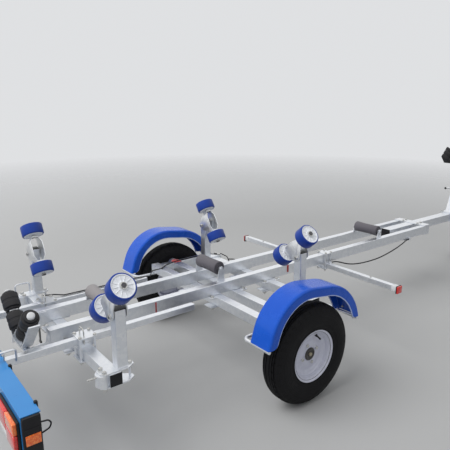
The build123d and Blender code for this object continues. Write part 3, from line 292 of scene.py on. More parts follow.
class Shader(Graph):
    """Node material that is built up round its Principled shader."""

    def __init__(self, name: str, **sockets: float | tuple) -> None:
        """Start the material.

        Args:
            name: What the material is called.
            sockets: Plain values for the shader's own sockets, spaces as underscores.
        """
        self.material = bpy.data.materials.new(name)
        self.material.use_nodes = True
        super().__init__(self.material.node_tree)
        self.surface = self.tree.nodes["Principled BSDF"]
        for label, value in sockets.items():
            self.surface.inputs[label.replace("_", " ")].default_value = value

    def effect(self, tree: bpy.types.ShaderNodeTree, **values: float) -> Links:
        """Place a shared effect in this material.

        Args:
            tree: The effect's node group.
            values: This material's own values for its inputs.

        Returns:
            The effect's outputs.
        """
        node = self.tree.nodes.new("ShaderNodeGroup")
        node.node_tree = tree
        for label, value in values.items():
            node.inputs[label].default_value = value
        return node.outputs

    def tint(self, tone: Link, start: float, end: float, first: Colour, second: Colour) -> Link:
        """Colour that goes from the first to the second while a tone goes from start to end."""
        return self.blend(self.ramp(tone, 0.0, 1.0, start, end), first, second)

    def bump(self, height: Link, strength: float, depth: float, normal: Link | None = None) -> Link:
        """Turn a height into a normal.

        Args:
            height: Varying height between about 0 and 1.
            strength: How much of the bump shows.
            depth: Depth of a height of 1, in metres.
            normal: Normal that the bump stands on, if it has one.

        Returns:
            The bumped normal.
        """
        sockets = {"Height": height, "Strength": strength, "Distance": depth}
        if normal is not None:
            sockets["Normal"] = normal
        return self.node("Bump", sockets).outputs[0]

    def connect(self, **results: Link) -> bpy.types.Material:
        """Link results to the Principled shader.

        Args:
            results: Sockets by the shader's input, spaces as underscores.

        Returns:
            The finished material.
        """
        for label, socket in results.items():
            self.tree.links.new(socket, self.surface.inputs[label.replace("_", " ")])
        return self.material


# Finishes


@dataclass(frozen=True)
class Finish:
    """A finish that a piece can be given."""

    name: str
    slot: str

    def make(self) -> bpy.types.Material:
        """Build the node material."""
        raise NotImplementedError


@lru_cache
def material_of(finish: Finish) -> bpy.types.Material:
    """The one material that every piece with this finish shares."""
    return finish.make()


@dataclass(frozen=True)
class ZincCoat(Finish):
    """Hot dip galvanising or bright zinc plate on steel."""

    pale: Colour = (0.88, 0.90, 0.93)
    deep: Colour = (0.76, 0.79, 0.84)
    dirt: Colour = (0.46, 0.43, 0.38)
    spangle_size: float = 0.014
    rough: Pair = (0.30, 0.40)
    streaks: float = 0.5
    bump_depth: float = 0.00004
    edge: Colour = (0.88, 0.90, 0.92)

    def make(self) -> bpy.types.Material:
        """Build the coat from crystals, edge wear and a little dust.

        Returns:
            The material.
        """
        shader = Shader(self.name, Metallic=0.97)
        crystals = shader.effect(spangle(), Size=self.spangle_size, Streaks=self.streaks)
        tone = crystals["Tone"]
        edges = shader.effect(edge_wear(), Radius=0.0016, Strength=3.0)
        coat = shader.tint(tone, 0.2, 0.8, self.deep, self.pale)
        bright = shader.blend(edges["Mask"], coat, self.edge)
        dirt = shader.effect(dust(), Amount=0.07)["Mask"]
        return shader.connect(
            Base_Color=shader.blend(dirt, bright, self.dirt),
            Roughness=shader.ramp(tone, *self.rough, 0.15, 0.85),
            Normal=shader.bump(crystals["Height"], 0.35, self.bump_depth, edges["Normal"]),
        )


@dataclass(frozen=True)
class Moulding(Finish):
    """Moulded plastic or paint, glossy or dull."""

    colour: Colour = (0.02, 0.02, 0.02)
    faded: Colour = (0.03, 0.03, 0.03)
    worn: Colour = (0.10, 0.10, 0.10)
    rough: Pair = (0.35, 0.5)
    coat: float = 0.0
    fine: float = 700.0
    dusty: float = 0.15
    dirt: Colour = (0.30, 0.28, 0.25)
    shine: float = 0.5

    def make(self) -> bpy.types.Material:
        """Build the plastic from its grain, fading, worn edges and dust.

        Returns:
            The material.
        """
        shader = Shader(self.name, Coat_Weight=self.coat, Coat_Roughness=0.06,
                        Specular_IOR_Level=self.shine)
        skin = shader.effect(grain(), Fine=self.fine)
        tone = skin["Tone"]
        edges = shader.effect(edge_wear(), Radius=0.0015, Strength=2.2)
        body = shader.tint(tone, 0.3, 0.7, self.colour, self.faded)
        rubbed = shader.blend(edges["Mask"], body, self.worn)
        dirt = shader.effect(dust(), Amount=self.dusty)["Mask"]
        return shader.connect(
            Base_Color=shader.blend(dirt, rubbed, self.dirt),
            Roughness=shader.ramp(tone, *self.rough, 0.3, 0.7),
            Normal=shader.bump(skin["Height"], 0.3, 0.0002, edges["Normal"]),
        )


@dataclass(frozen=True)
class TyreRubber(Finish):
    """Road tyre rubber with fine moulded rings and dusty flanks."""

    colour: Colour = (0.0035, 0.0035, 0.0045)
    dusted: Colour = (0.008, 0.008, 0.009)

    def make(self) -> bpy.types.Material:
        """Build the rubber from its grain, its rings and road dust.

        Returns:
            The material.
        """
        shader = Shader(self.name, Specular_IOR_Level=0.22)
        skin = shader.effect(grain(), Fine=900.0, Broad=16.0)
        ribs = shader.effect(rings(), Pitch=RING_PITCH)["Height"]
        fine = shader.bump(skin["Height"], 0.4, 0.0003)
        return shader.connect(
            Base_Color=shader.tint(skin["Tone"], 0.4, 0.75, self.colour, self.dusted),
            Roughness=shader.ramp(skin["Tone"], 0.55, 0.82, 0.3, 0.7),
            Normal=shader.bump(ribs, 0.45, 0.0008, fine),
        )


@dataclass(frozen=True)
class RimPaint(Finish):
    """Silver wheel paint, finely turned, with brake dust in the hollows."""

    colour: Colour = (0.60, 0.61, 0.71)
    dusted: Colour = (0.50, 0.51, 0.60)
    edge: Colour = (0.62, 0.64, 0.67)

    def make(self) -> bpy.types.Material:
        """Build the paint from flake, turning rings and dust.

        Returns:
            The material.
        """
        shader = Shader(self.name, Metallic=0.12, Coat_Weight=0.25, Coat_Roughness=0.15)
        skin = shader.effect(grain(), Fine=1500.0, Broad=30.0)
        edges = shader.effect(edge_wear(), Radius=0.0015, Strength=3.0)
        ribs = shader.effect(rings(), Pitch=RING_PITCH)["Height"]
        paint = shader.tint(skin["Tone"], 0.45, 0.75, self.colour, self.dusted)
        smooth = shader.bump(skin["Height"], 0.2, 0.0001, edges["Normal"])
        return shader.connect(
            Base_Color=shader.blend(edges["Mask"], paint, self.edge),
            Roughness=shader.ramp(skin["Tone"], 0.32, 0.55, 0.3, 0.7),
            Normal=shader.bump(ribs, 0.12, 0.0003, smooth),
        )


@dataclass(frozen=True)
class Lens(Finish):
    """Coloured lamp lens or reflector with small prisms behind it."""

    colour: Colour = (0.55, 0.01, 0.008)
    bright: Colour = (0.85, 0.03, 0.02)
    prism: float = 0.006

    def make(self) -> bpy.types.Material:
        """Build the lens from its prisms under a clear coat.

        Returns:
            The material.
        """
        shader = Shader(self.name, Coat_Weight=0.8, Coat_Roughness=0.04, Specular_IOR_Level=0.6)
        cells = shader.node("TexVoronoi", {"Vector": shader.where(), "Scale": 1.0 / self.prism},
                            distance="CHEBYCHEV")
        skin = shader.effect(grain(), Fine=500.0, Broad=20.0)
        depth = cells.outputs["Distance"]
        return shader.connect(
            Base_Color=shader.tint(depth, 0.1, 0.6, self.bright, self.colour),
            Roughness=shader.ramp(skin["Tone"], 0.12, 0.28, 0.3, 0.7),
            Normal=shader.bump(depth, 0.5, 0.001),
        )


@dataclass(frozen=True)
class Webbing(Finish):
    """Woven tape or strap."""

    colour: Colour = (0.62, 0.02, 0.02)
    shade: Colour = (0.30, 0.01, 0.01)
    pitch: float = 0.0016

    def make(self) -> bpy.types.Material:
        """Build the tape from two crossing sets of threads.

        Returns:
            The material.
        """
        shader = Shader(self.name, Sheen_Weight=0.3)
        where = shader.where()
        across, along = (
            shader.node("TexWave", {"Vector": where, "Scale": turns / self.pitch,
                                    "Distortion": 0.4}, bands_direction=axis).outputs["Fac"]
            for turns, axis in ((0.5, "Z"), (0.35, "X"))
        )
        weave = shader.math("MULTIPLY", across, along)
        return shader.connect(
            Base_Color=shader.blend(weave, self.shade, self.colour),
            Roughness=shader.ramp(weave, 0.75, 0.9),
            Normal=shader.bump(weave, 0.5, 0.0004),
        )


GALVANISED = ZincCoat("galvanised steel", "galvanised")
ZINC = ZincCoat("bright zinc plate", "zinc", pale=(0.84, 0.85, 0.86), deep=(0.74, 0.76, 0.78),
                spangle_size=0.009, rough=(0.34, 0.46), streaks=0.2, bump_depth=0.00008)
FASTENER = ZincCoat("zinc plated fasteners", "zinc", pale=(0.74, 0.74, 0.72),
                    deep=(0.50, 0.50, 0.48), spangle_size=0.003, rough=(0.2, 0.4), streaks=0.1,
                    bump_depth=0.0001)
DARK_BOLT = ZincCoat("dark steel bolt", "zinc", pale=(0.12, 0.12, 0.13), deep=(0.05, 0.05, 0.055),
                     spangle_size=0.003, bump_depth=0.0001, edge=(0.30, 0.30, 0.31))
YELLOW_ZINC = ZincCoat("yellowed zinc", "zinc", pale=(0.60, 0.54, 0.40), deep=(0.38, 0.34, 0.25),
                       spangle_size=0.003, bump_depth=0.0001, edge=(0.66, 0.61, 0.48))
GUARD_BLUE = Moulding("mudguard blue", "blue_plastic", colour=(0.001, 0.072, 0.49),
                      faded=(0.003, 0.090, 0.54), worn=(0.03, 0.20, 0.70), rough=(0.22, 0.32),
                      coat=0.12, fine=350.0, dusty=0.02, dirt=(0.12, 0.26, 0.54), shine=0.3)
# Pale copy of the mudguard blue: a painted highlight along the guard's lip
GUARD_LIP_HIGHLIGHT = Moulding("guard lip painted highlight", "blue_plastic", colour=(0.42, 0.52, 0.86),
                      faded=(0.52, 0.62, 0.90), worn=(0.66, 0.74, 0.94), rough=(0.3, 0.4))
ROLLER_BLUE = Moulding("roller blue", "roller_blue", colour=(0.004, 0.034, 0.25),
                       faded=(0.008, 0.046, 0.30), worn=(0.03, 0.09, 0.38), rough=(0.32, 0.44),
                       dusty=0.03, dirt=(0.14, 0.18, 0.34), shine=0.35)
HUB_WHITE = Moulding("roller hub white", "roller_blue", colour=(0.84, 0.86, 0.90),
                     faded=(0.79, 0.81, 0.85), worn=(0.88, 0.89, 0.91), rough=(0.35, 0.5),
                     dusty=0.08, dirt=(0.55, 0.54, 0.52))
BLACK_PLASTIC = Moulding("black plastic", "black_plastic", colour=(0.009, 0.009, 0.011),
                         faded=(0.020, 0.020, 0.022), worn=(0.06, 0.06, 0.065), rough=(0.35, 0.55),
                         dusty=0.03, shine=0.25)
GREASE = Moulding("greased hub", "rim_paint", colour=(0.020, 0.018, 0.017),
                  faded=(0.050, 0.046, 0.042), worn=(0.10, 0.09, 0.08), rough=(0.22, 0.40),
                  coat=0.3, dusty=0.05)
BLACK_RUBBER = Moulding("black rubber", "black_rubber", colour=(0.010, 0.010, 0.012),
                        faded=(0.018, 0.018, 0.021), worn=(0.05, 0.05, 0.055), rough=(0.45, 0.6),
                        dusty=0.08, shine=0.35)
GREY_RUBBER = Moulding("grey rubber", "grey_rubber", colour=(0.085, 0.080, 0.094),
                       faded=(0.115, 0.108, 0.124), worn=(0.20, 0.19, 0.21), rough=(0.5, 0.68),
                       dusty=0.12)
TAUPE_RUBBER = Moulding("faded grey rubber", "grey_rubber", colour=(0.21, 0.195, 0.20),
                        faded=(0.28, 0.265, 0.27), worn=(0.36, 0.34, 0.34), rough=(0.5, 0.68),
                        dusty=0.2)
WHITE_PLASTIC = Moulding("white plastic", "black_plastic", colour=(0.72, 0.73, 0.74),
                         faded=(0.62, 0.63, 0.64), worn=(0.8, 0.8, 0.8), rough=(0.3, 0.45))
BOARD_BLUE = Moulding("light board blue", "blue_paint", colour=(0.020, 0.200, 0.52),
                      faded=(0.030, 0.230, 0.56), worn=(0.25, 0.44, 0.68), rough=(0.26, 0.38),
                      coat=0.2, fine=300.0, dusty=0.02, dirt=(0.24, 0.40, 0.64), shine=0.35)
PLATE_WHITE = Moulding("blank plate", "blue_paint", colour=(0.70, 0.71, 0.71),
                       faded=(0.62, 0.63, 0.64), worn=(0.8, 0.8, 0.8), rough=(0.25, 0.4), coat=0.3)
TYRE_BLACK = TyreRubber("tyre rubber", "tyre")
RIM_SILVER = RimPaint("silver rim paint", "rim_paint")
RED_LENS = Lens("red lens", "lamp_red")
ORANGE_LENS = Lens("orange lens", "reflector_red", colour=(0.80, 0.10, 0.004),
                   bright=(0.95, 0.26, 0.03))
CLEAR_LENS = Lens("clear lens", "lamp_red", colour=(0.62, 0.62, 0.62), bright=(0.85, 0.85, 0.85))
REFLECTOR_RED = Lens("red reflector", "reflector_red", prism=0.004)
RED_TAPE = Webbing("red tape", "lamp_red")
BLACK_STRAP = Webbing("black strap", "black_rubber", colour=(0.03, 0.03, 0.03),
                      shade=(0.008, 0.008, 0.008))


# Stock shapes, in millimetres round their own origin


def aim(at: Sequence[float], way: Sequence[float], spin: float = 0.0) -> Matrix:
    """Placement that turns a stock shape's z axis along a direction.

    Args:
        at: Where the shape's origin goes.
        way: Direction of its z axis.
        spin: Turn about that axis in degrees.

    Returns:
        The placement.
    """
    turn = Vector(way).to_track_quat("Z", "Y").to_matrix().to_4x4()
    return Matrix.Translation(Vector(at)) @ turn @ Matrix.Rotation(radians(spin), 4, "Z")


def tidy(stock: Mesh) -> Mesh:
    """Merge doubled points and turn the faces outwards.

    Args:
        stock: The shape.

    Returns:
        The same shape.
    """
    bmesh.ops.remove_doubles(stock, verts=stock.verts, dist=0.001)
    bmesh.ops.recalc_face_normals(stock, faces=stock.faces)
    return stock


def bevel(stock: Mesh, edges: list[Edge], width: float, segments: int) -> Mesh:
    """Round some edges off.

    Args:
        stock: The shape.
        edges: Its edges to round.
        width: Width of the rounding.
        segments: Faces across it.

    Returns:
        The same shape.
    """
    bmesh.ops.bevel(stock, geom=edges, offset=width, offset_type="OFFSET", segments=segments,
                    profile=0.5, affect="EDGES", material=-1, clamp_overlap=True)
    return stock


def soften(stock: Mesh, width: float, segments: int = 2, sharper: float = 30.0) -> Mesh:
    """Round the sharp edges off.

    Args:
        stock: The shape.
        width: Width of the rounding.
        segments: Faces across it.
        sharper: Least bend of an edge that is rounded, in degrees.

    Returns:
        The same shape.
    """
    sharp = [edge for edge in stock.edges
             if len(edge.link_faces) == 2 and edge.calc_face_angle(0.0) > radians(sharper)]
    return bevel(stock, sharp, width, segments)


def block(low: Point, high: Point, edge: float = 0.0, segments: int = 2) -> Mesh:
    """Box between two corners.

    Args:
        low: Corner with the lowest x, y and z.
        high: Opposite corner.
        edge: Width of its softened edges, or 0 to leave them sharp.
        segments: Faces across a softened edge.

    Returns:
        The box.
    """
    stock = bmesh.new()
    first, second = Vector(low), Vector(high)
    place = Matrix.Translation((first + second) / 2) @ Matrix.Diagonal((*(second - first), 1.0))
    bmesh.ops.create_cube(stock, size=1.0, matrix=place)
    return soften(stock, edge, segments) if edge else stock


def mirrored(profile: Sequence[Pair]) -> list[Pair]:
    """A profile followed by its mirror image across height 0."""
    return [*profile, *[(-height, radius) for height, radius in reversed(profile) if height]]


def turned(profile: Sequence[Pair], steps: int = 48) -> Mesh:
    """Shape turned about z.

    Args:
        profile: Its (height, radius) points.
        steps: Faces round it.

    Returns:
        The shape.
    """
    stock = bmesh.new()
    points = [stock.verts.new((radius, 0.0, height)) for height, radius in profile]
    edges = [stock.edges.new(pair) for pair in zip(points, points[1:])]
    bmesh.ops.spin(stock, geom=points + edges, cent=(0, 0, 0), axis=(0, 0, 1), dvec=(0, 0, 0),
                   angle=2 * pi, steps=steps, use_merge=True)
    return tidy(stock)


def ring_of(profile: Sequence[Pair], steps: int = 48) -> Mesh:
    """Closed ring turned about z: the profile's end joins its start."""
    return turned([*profile, profile[0]], steps)


def plate(outline: Sequence[Pair], thick: float, edge: float, corner: float = 0.0) -> Mesh:
    """Flat plate over an outline in x and y, with rounded corners and softened edges.

    Args:
        outline: Corner points.
        thick: Height along z.
        edge: Width of the softened edges.
        corner: Radius of the rounded corners.

    Returns:
        The plate, standing on z 0.
    """
    stock = bmesh.new()
    face = stock.faces.new([stock.verts.new((x, y, 0.0)) for x, y in outline])
    grown = bmesh.ops.extrude_face_region(stock, geom=[face])["geom"]
    bmesh.ops.translate(stock, vec=(0.0, 0.0, thick), verts=of_kind(grown, bmesh.types.BMVert))
    bmesh.ops.recalc_face_normals(stock, faces=stock.faces)
    if corner:
        upright = [e for e in stock.edges if abs(e.verts[0].co.z - e.verts[1].co.z) > thick / 2]
        bevel(stock, upright, corner, 5)
    return soften(stock, edge, 2, 50.0)


def of_kind(parts: Iterable, kind: type) -> list:
    """The parts of a result that are of one kind: points or edges."""
    return [part for part in parts if isinstance(part, kind)]


def rod(radius: float, length: float, sides: int = 20, lip: float = 0.0) -> Mesh:
    """Round bar that stands on z 0.

    Args:
        radius: Half its thickness.
        length: Its height.
        sides: Faces round it.
        lip: Chamfer of its ends.

    Returns:
        The bar.
    """
    if not lip:
        return turned([(0.0, 0.0), (0.0, radius), (length, radius), (length, 0.0)], sides)
    return turned([(0.0, 0.0), (0.0, radius - lip), (lip, radius), (length - lip, radius),
                   (length, radius - lip), (length, 0.0)], sides)


def hexagon(across: float, height: float) -> Mesh:
    """Hexagon head or nut that stands on z 0, with its corners chamfered on top.

    Args:
        across: Width over its flats.
        height: Its height.

    Returns:
        The head.
    """
    stock = bmesh.new()
    radius = across / 2 / cos(pi / 6)
    bmesh.ops.create_cone(stock, cap_ends=True, segments=6, radius1=radius, radius2=radius,
                          depth=height, matrix=Matrix.Translation((0.0, 0.0, height / 2)))
    top = [e for e in stock.edges if min(v.co.z for v in e.verts) > height * 0.9]
    return bevel(stock, top, height * 0.16, 2)


def washer(size: float) -> Mesh:
    """Flat washer for a thread size."""
    thick = WASHER * size
    return ring_of([(0.0, size * 0.55), (0.0, size), (thick, size), (thick, size * 0.55)], 20)


def bent_bar(points: Sequence[Point], radius: float, bends: float | Sequence[float],
             sides: int = 12) -> Mesh:
    """Round bar along straight runs with an arc at each corner.

    Args:
        points: Route, ends and corners.
        radius: Half the bar's thickness.
        bends: Radius of the bends, one for all or one for each corner.
        sides: Sides of the bar's section.

    Returns:
        The closed bar.
    """
    stock = bmesh.new()
    route = [Vector(point) for point in points]
    arcs = [bends] * (len(route) - 2) if isinstance(bends, (int, float)) else list(bends)
    way = (route[1] - route[0]).normalized()
    bmesh.ops.create_circle(stock, cap_ends=True, radius=radius, segments=sides,
                            matrix=aim(route[0], way))
    ring: list = list(stock.edges)
    at = route[0]
    for corner, after, arc in zip(route[1:], route[2:], arcs):
        onward = (after - corner).normalized()
        turn = way.angle(onward)
        start = corner - way * arc * tan(turn / 2)
        ring = draw_out(stock, ring, start - at)
        axis = way.cross(onward).normalized()
        points_of_ring = list({point for edge in ring for point in edge.verts})
        spun = bmesh.ops.spin(stock, geom=ring + points_of_ring, axis=axis, angle=turn,
                              cent=start + axis.cross(way) * arc, dvec=(0, 0, 0),
                              steps=max(3, ceil(turn * 5)), use_merge=False)
        ring = of_kind(spun["geom_last"], Edge)
        way = onward
        at = corner + way * arc * tan(turn / 2)
    ring = draw_out(stock, ring, route[-1] - at)
    bmesh.ops.edgeloop_fill(stock, edges=ring)
    return tidy(stock)


def draw_out(stock: Mesh, ring: list[Edge], run: Vector) -> list[Edge]:
    """Extend a ring of edges by one straight run.

    Args:
        stock: Shape that the ring belongs to.
        ring: The ring.
        run: How far it goes, and which way.

    Returns:
        The new ring.
    """
    if run.length < 0.01:
        return ring
    grown = bmesh.ops.extrude_edge_only(stock, edges=ring)["geom"]
    points = set(of_kind(grown, bmesh.types.BMVert))
    bmesh.ops.translate(stock, vec=run, verts=list(points))
    return [edge for edge in of_kind(grown, Edge) if points.issuperset(edge.verts)]


def corners(x: float, y: float) -> Iterable[Pair]:
    """The four corners of a rectangle round the origin."""
    return product((-x, x), (-y, y))


# Pieces


class Piece:
    """One object of the scene while it is being put together, in millimetres."""

    def __init__(self, name: str, body: str = "frame", place: Matrix = IN_PLACE) -> None:
        """Start an empty piece.

        Args:
            name: Name of the object.
            body: CAD body that it rides on.
            place: Placement of its millimetres in the trailer's frame.
        """
        self.name = name
        self.body = body
        self.place = place
        self.mesh = bmesh.new()
        self.finishes: list[Finish] = []

    def add(self, finish: Finish, stock: Mesh, *places: Matrix) -> None:
        """Add a stock shape, once at each placement, or once as it lies.

        Args:
            finish: The shape's finish.
            stock: The shape, which is used up.
            places: Placements in the piece.
        """
        if finish not in self.finishes:
            self.finishes.append(finish)
        index = self.finishes.index(finish)
        for face in stock.faces:
            face.material_index = index
        carrier = bpy.data.meshes.new("carrier")
        for place in places or (Matrix(),):
            copy = stock.copy()
            bmesh.ops.transform(copy, matrix=place, verts=copy.verts)
            copy.to_mesh(carrier)
            copy.free()
            self.mesh.from_mesh(carrier)
        bpy.data.meshes.remove(carrier)
        stock.free()

    def box(self, finish: Finish, x: Pair, y: Pair, z: Pair, edge: float,
            segments: int = 2) -> None:
        """Add a box between two values on each axis, lower or higher first."""
        low, high = zip(*(sorted(pair) for pair in (x, y, z)))
        self.add(finish, block(low, high, edge, segments))

    def bolt(self, at: Sequence[float], way: Sequence[float], size: float = 10.0,
             grip: float = 0.0, spin: float = 12.0) -> None:
        """Add a bolt head on a washer, with its nut on the far side when it has a grip.

        Args:
            at: Point on the surface under the head.
            way: Direction out of that surface.
            size: Thread size.
            grip: Thickness of what the bolt holds.
            spin: Turn of the head in degrees.
        """
        out = Vector(way).normalized()
        lift = out * WASHER * size
        under = Vector(at) - out * grip
        spots = [aim(at, out), aim(under, -out)]
        self.add(FASTENER, washer(size), *spots[:2 if grip else 1])
        self.add(FASTENER, hexagon(ACROSS * size, 0.64 * size), aim(Vector(at) + lift, out, spin))
        if grip:
            self.nut(under - lift, -out, size, 0.45 * size, spin * 2)

    def nut(self, at: Vector, way: Vector, size: float, past: float, spin: float) -> None:
        """Add a nut with the end of its thread standing past it."""
        self.add(FASTENER, hexagon(ACROSS * size, 0.8 * size), aim(at, way, spin))
        self.add(FASTENER, rod(size * 0.46, 0.8 * size + past, 12, 0.8), aim(at, way))

    def build(self, *replaced: str, sharp: float = 32.0) -> None:
        """Make the object and hand it to its body.

        Args:
            replaced: CAD nodes that it stands for.
            sharp: Angle past which an edge stays sharp, in degrees.
        """
        bmesh.ops.transform(self.mesh, matrix=self.place, verts=self.mesh.verts)
        data = bpy.data.meshes.new(self.name)
        self.mesh.to_mesh(data)
        self.mesh.free()
        for finish in self.finishes:
            data.materials.append(material_of(finish))
        data.shade_smooth()
        data.set_sharp_from_angle(angle=radians(sharp))
        made = bpy.data.objects.new(self.name, data)
        bpy.context.scene.collection.objects.link(made)
        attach(made, self.body)
        if replaced:
            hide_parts(*replaced)
        triangles = sum(len(face.vertices) - 2 for face in data.polygons)
        LOG.info("%s on %s, %d triangles", self.name, self.body, triangles)


def joint_place(child: str) -> Matrix:
    """Placement with its origin on a body's joint and z along the joint's axis, in metres."""
    joint = next(j for j in frame["joints"] if j["child"] == child)
    return aim(joint["pos_m"], joint["axis"]) @ Matrix.Scale(MM, 4)


# Camera and light


@dataclass
class PhotoCamera:
    """Camera at the photograph's place."""

    at: Point = (-2.4905, -2.0996, 1.4502)
    yaw: float = 51.87
    down: float = 14.53
    roll: float = 0.22
    focal: float = 504.0
    frame_width: float = 450.0

    def build(self) -> None:
        """Make the camera and hand it to the scene."""
        yaw, down, roll = radians(self.yaw), radians(self.down), radians(self.roll)
        ahead = Vector((cos(yaw) * cos(down), sin(yaw) * cos(down), -sin(down)))
        level = Vector((sin(yaw), -cos(yaw), 0.0))
        upright = level.cross(ahead)
        right = level * cos(roll) + upright * sin(roll)
        up = upright * cos(roll) - level * sin(roll)
        data = bpy.data.cameras.new("photo camera")
        data.sensor_width = 36.0
        data.lens = self.focal / self.frame_width * data.sensor_width
        data.clip_end = 60.0
        camera = bpy.data.objects.new("photo camera", data)
        camera.matrix_world = Matrix.Translation(self.at) @ Matrix(
            (right, up, -ahead)).transposed().to_4x4()
        bpy.context.scene.collection.objects.link(camera)
        bpy.context.scene.camera = camera


@dataclass
class Studio:
    """Pale floor that fades into its backdrop, soft sky and one large soft lamp."""

    floor_half: float = 30.0
    floor_dark: float = 0.95
    floor_colour: Colour = (0.44, 0.44, 0.435)
    floor_fade: Pair = (2.6, 9.5)
    backdrop: Colour = (0.74, 0.75, 0.765)
    sky_high: Colour = (1.0, 1.0, 1.0)
    sky_low: Colour = (0.05, 0.06, 0.08)
    bright_way: Point = (-0.10, 0.15, 0.95)
    bright_span: Pair = (-0.15, 0.25)
    fill_colour: Colour = (0.95, 0.97, 1.0)
    fill: float = 0.55
    lamp_power: float = 1250.0
    lamp_size: float = 10.0
    lamp_at: Point = (-8.2, 1.6, 10.2)
    lamp_to: Point = (-0.8, 0.0, 0.4)

    def build(self) -> None:
        """Make the floor, the world and the lamp."""
        self.lay_floor()
        self.light_world()
        self.hang_lamp()
        bpy.context.scene.view_settings.view_transform = "Standard"

    def lay_floor(self) -> None:
        """Lay the floor under the wheels."""
        stock = bmesh.new()
        bmesh.ops.create_grid(stock, x_segments=1, y_segments=1, size=self.floor_half)
        data = bpy.data.meshes.new("floor")
        stock.to_mesh(data)
        stock.free()
        shader = Shader("pale floor", Roughness=0.8)
        where = shader.where()
        away = shader.node("VectorMath", {0: where}, operation="LENGTH").outputs["Value"]
        low = tuple(self.floor_dark * part for part in self.floor_colour)
        data.materials.append(shader.connect(
            Base_Color=shader.blend(shader.noise(where, 0.7, 4.0), low, self.floor_colour),
            Alpha=shader.ramp(away, 1.0, 0.0, *self.floor_fade),
        ))
        floor = bpy.data.objects.new("floor", data)
        bpy.context.scene.collection.objects.link(floor)

    def light_world(self) -> None:
        """Sky, bright above and dark below, for shiny faces, and a plain fill for the rest."""
        world = bpy.data.worlds.new("soft studio")
        bpy.context.scene.world = world
        world.use_nodes = True
        world.node_tree.nodes.clear()
        graph = Graph(world.node_tree)
        way = graph.node("TexCoord").outputs["Generated"]
        rise = graph.node("VectorMath", {0: way, 1: self.bright_way}, operation="DOT_PRODUCT")
        bright = graph.ramp(rise.outputs["Value"], 0.0, 1.0, *self.bright_span)
        sky = graph.blend(bright, self.sky_low, self.sky_high)
        rays = graph.node("LightPath").outputs
        wall = graph.blend(rays["Is Camera Ray"], sky, self.backdrop)
        shiny = graph.math("MAXIMUM", rays["Is Glossy Ray"], rays["Is Transmission Ray"])
        shown = graph.math("MAXIMUM", shiny, rays["Is Camera Ray"])
        seen = graph.node("Background", {"Color": wall})
        plain = graph.node("Background", {"Color": (*self.fill_colour, 1.0), "Strength": self.fill})
        mixed = graph.node("MixShader", {0: shown, 1: plain.outputs[0], 2: seen.outputs[0]})
        graph.node("OutputWorld", {"Surface": mixed.outputs[0]})

    def hang_lamp(self) -> None:
        """Hang the large lamp high on the camera's left."""
        data = bpy.data.lights.new("soft lamp", "AREA")
        data.shape = "DISK"
        data.size = self.lamp_size
        data.energy = self.lamp_power
        lamp = bpy.data.objects.new("soft lamp", data)
        lamp.location = self.lamp_at
        away = Vector(self.lamp_at) - Vector(self.lamp_to)
        lamp.rotation_euler = away.to_track_quat("Z", "Y").to_euler()
        lamp.visible_glossy = False
        bpy.context.scene.collection.objects.link(lamp)


# Cord


@dataclass
class FrontCable:
    """Cable that sags in front of the marker arm, as the frame has it."""

    thick: float = 0.008
    length: float = 0.900
    route: tuple[Point, ...] = (
        (706.0, -154.0, 435.0),
        (742.0, -154.0, 435.0),
        (796.0, -151.0, 419.0),
        (872.0, -146.0, 390.0),
        (962.0, -141.0, 367.0),
        (1070.0, -138.0, 355.0),
        (1165.0, -136.0, 352.0),
        (1250.0, -136.0, 354.0),
        (1346.0, -136.0, 367.0),
        (1453.0, -136.0, 388.0),
        (1523.0, -136.0, 409.0),
        (1566.0, -136.0, 426.0),
        (1586.0, -136.0, 426.0),
    )

    def build(self) -> None:
        """Hang the cable between its two clips."""
        data = bpy.data.curves.new("front_cable_lead", "CURVE")
        data.dimensions = "3D"
        data.bevel_depth = self.thick / 2
        data.bevel_resolution = 4
        data.resolution_u = 12
        data.use_fill_caps = True
        line = data.splines.new("NURBS")
        line.points.add(len(self.route) - 1)
        for spot, place in zip(line.points, self.route):
            spot.co = (*(IN_PLACE @ Vector(place)), 1.0)
        line.order_u = 3
        line.use_endpoint_u = True
        data.materials.append(material_of(BLACK_RUBBER))
        lead = bpy.data.objects.new("front_cable_lead", data)
        bpy.context.scene.collection.objects.link(lead)
        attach(lead, "frame")
        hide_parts("front_cable")
        LOG.info("front_cable_lead hung between its clips")


# Frame


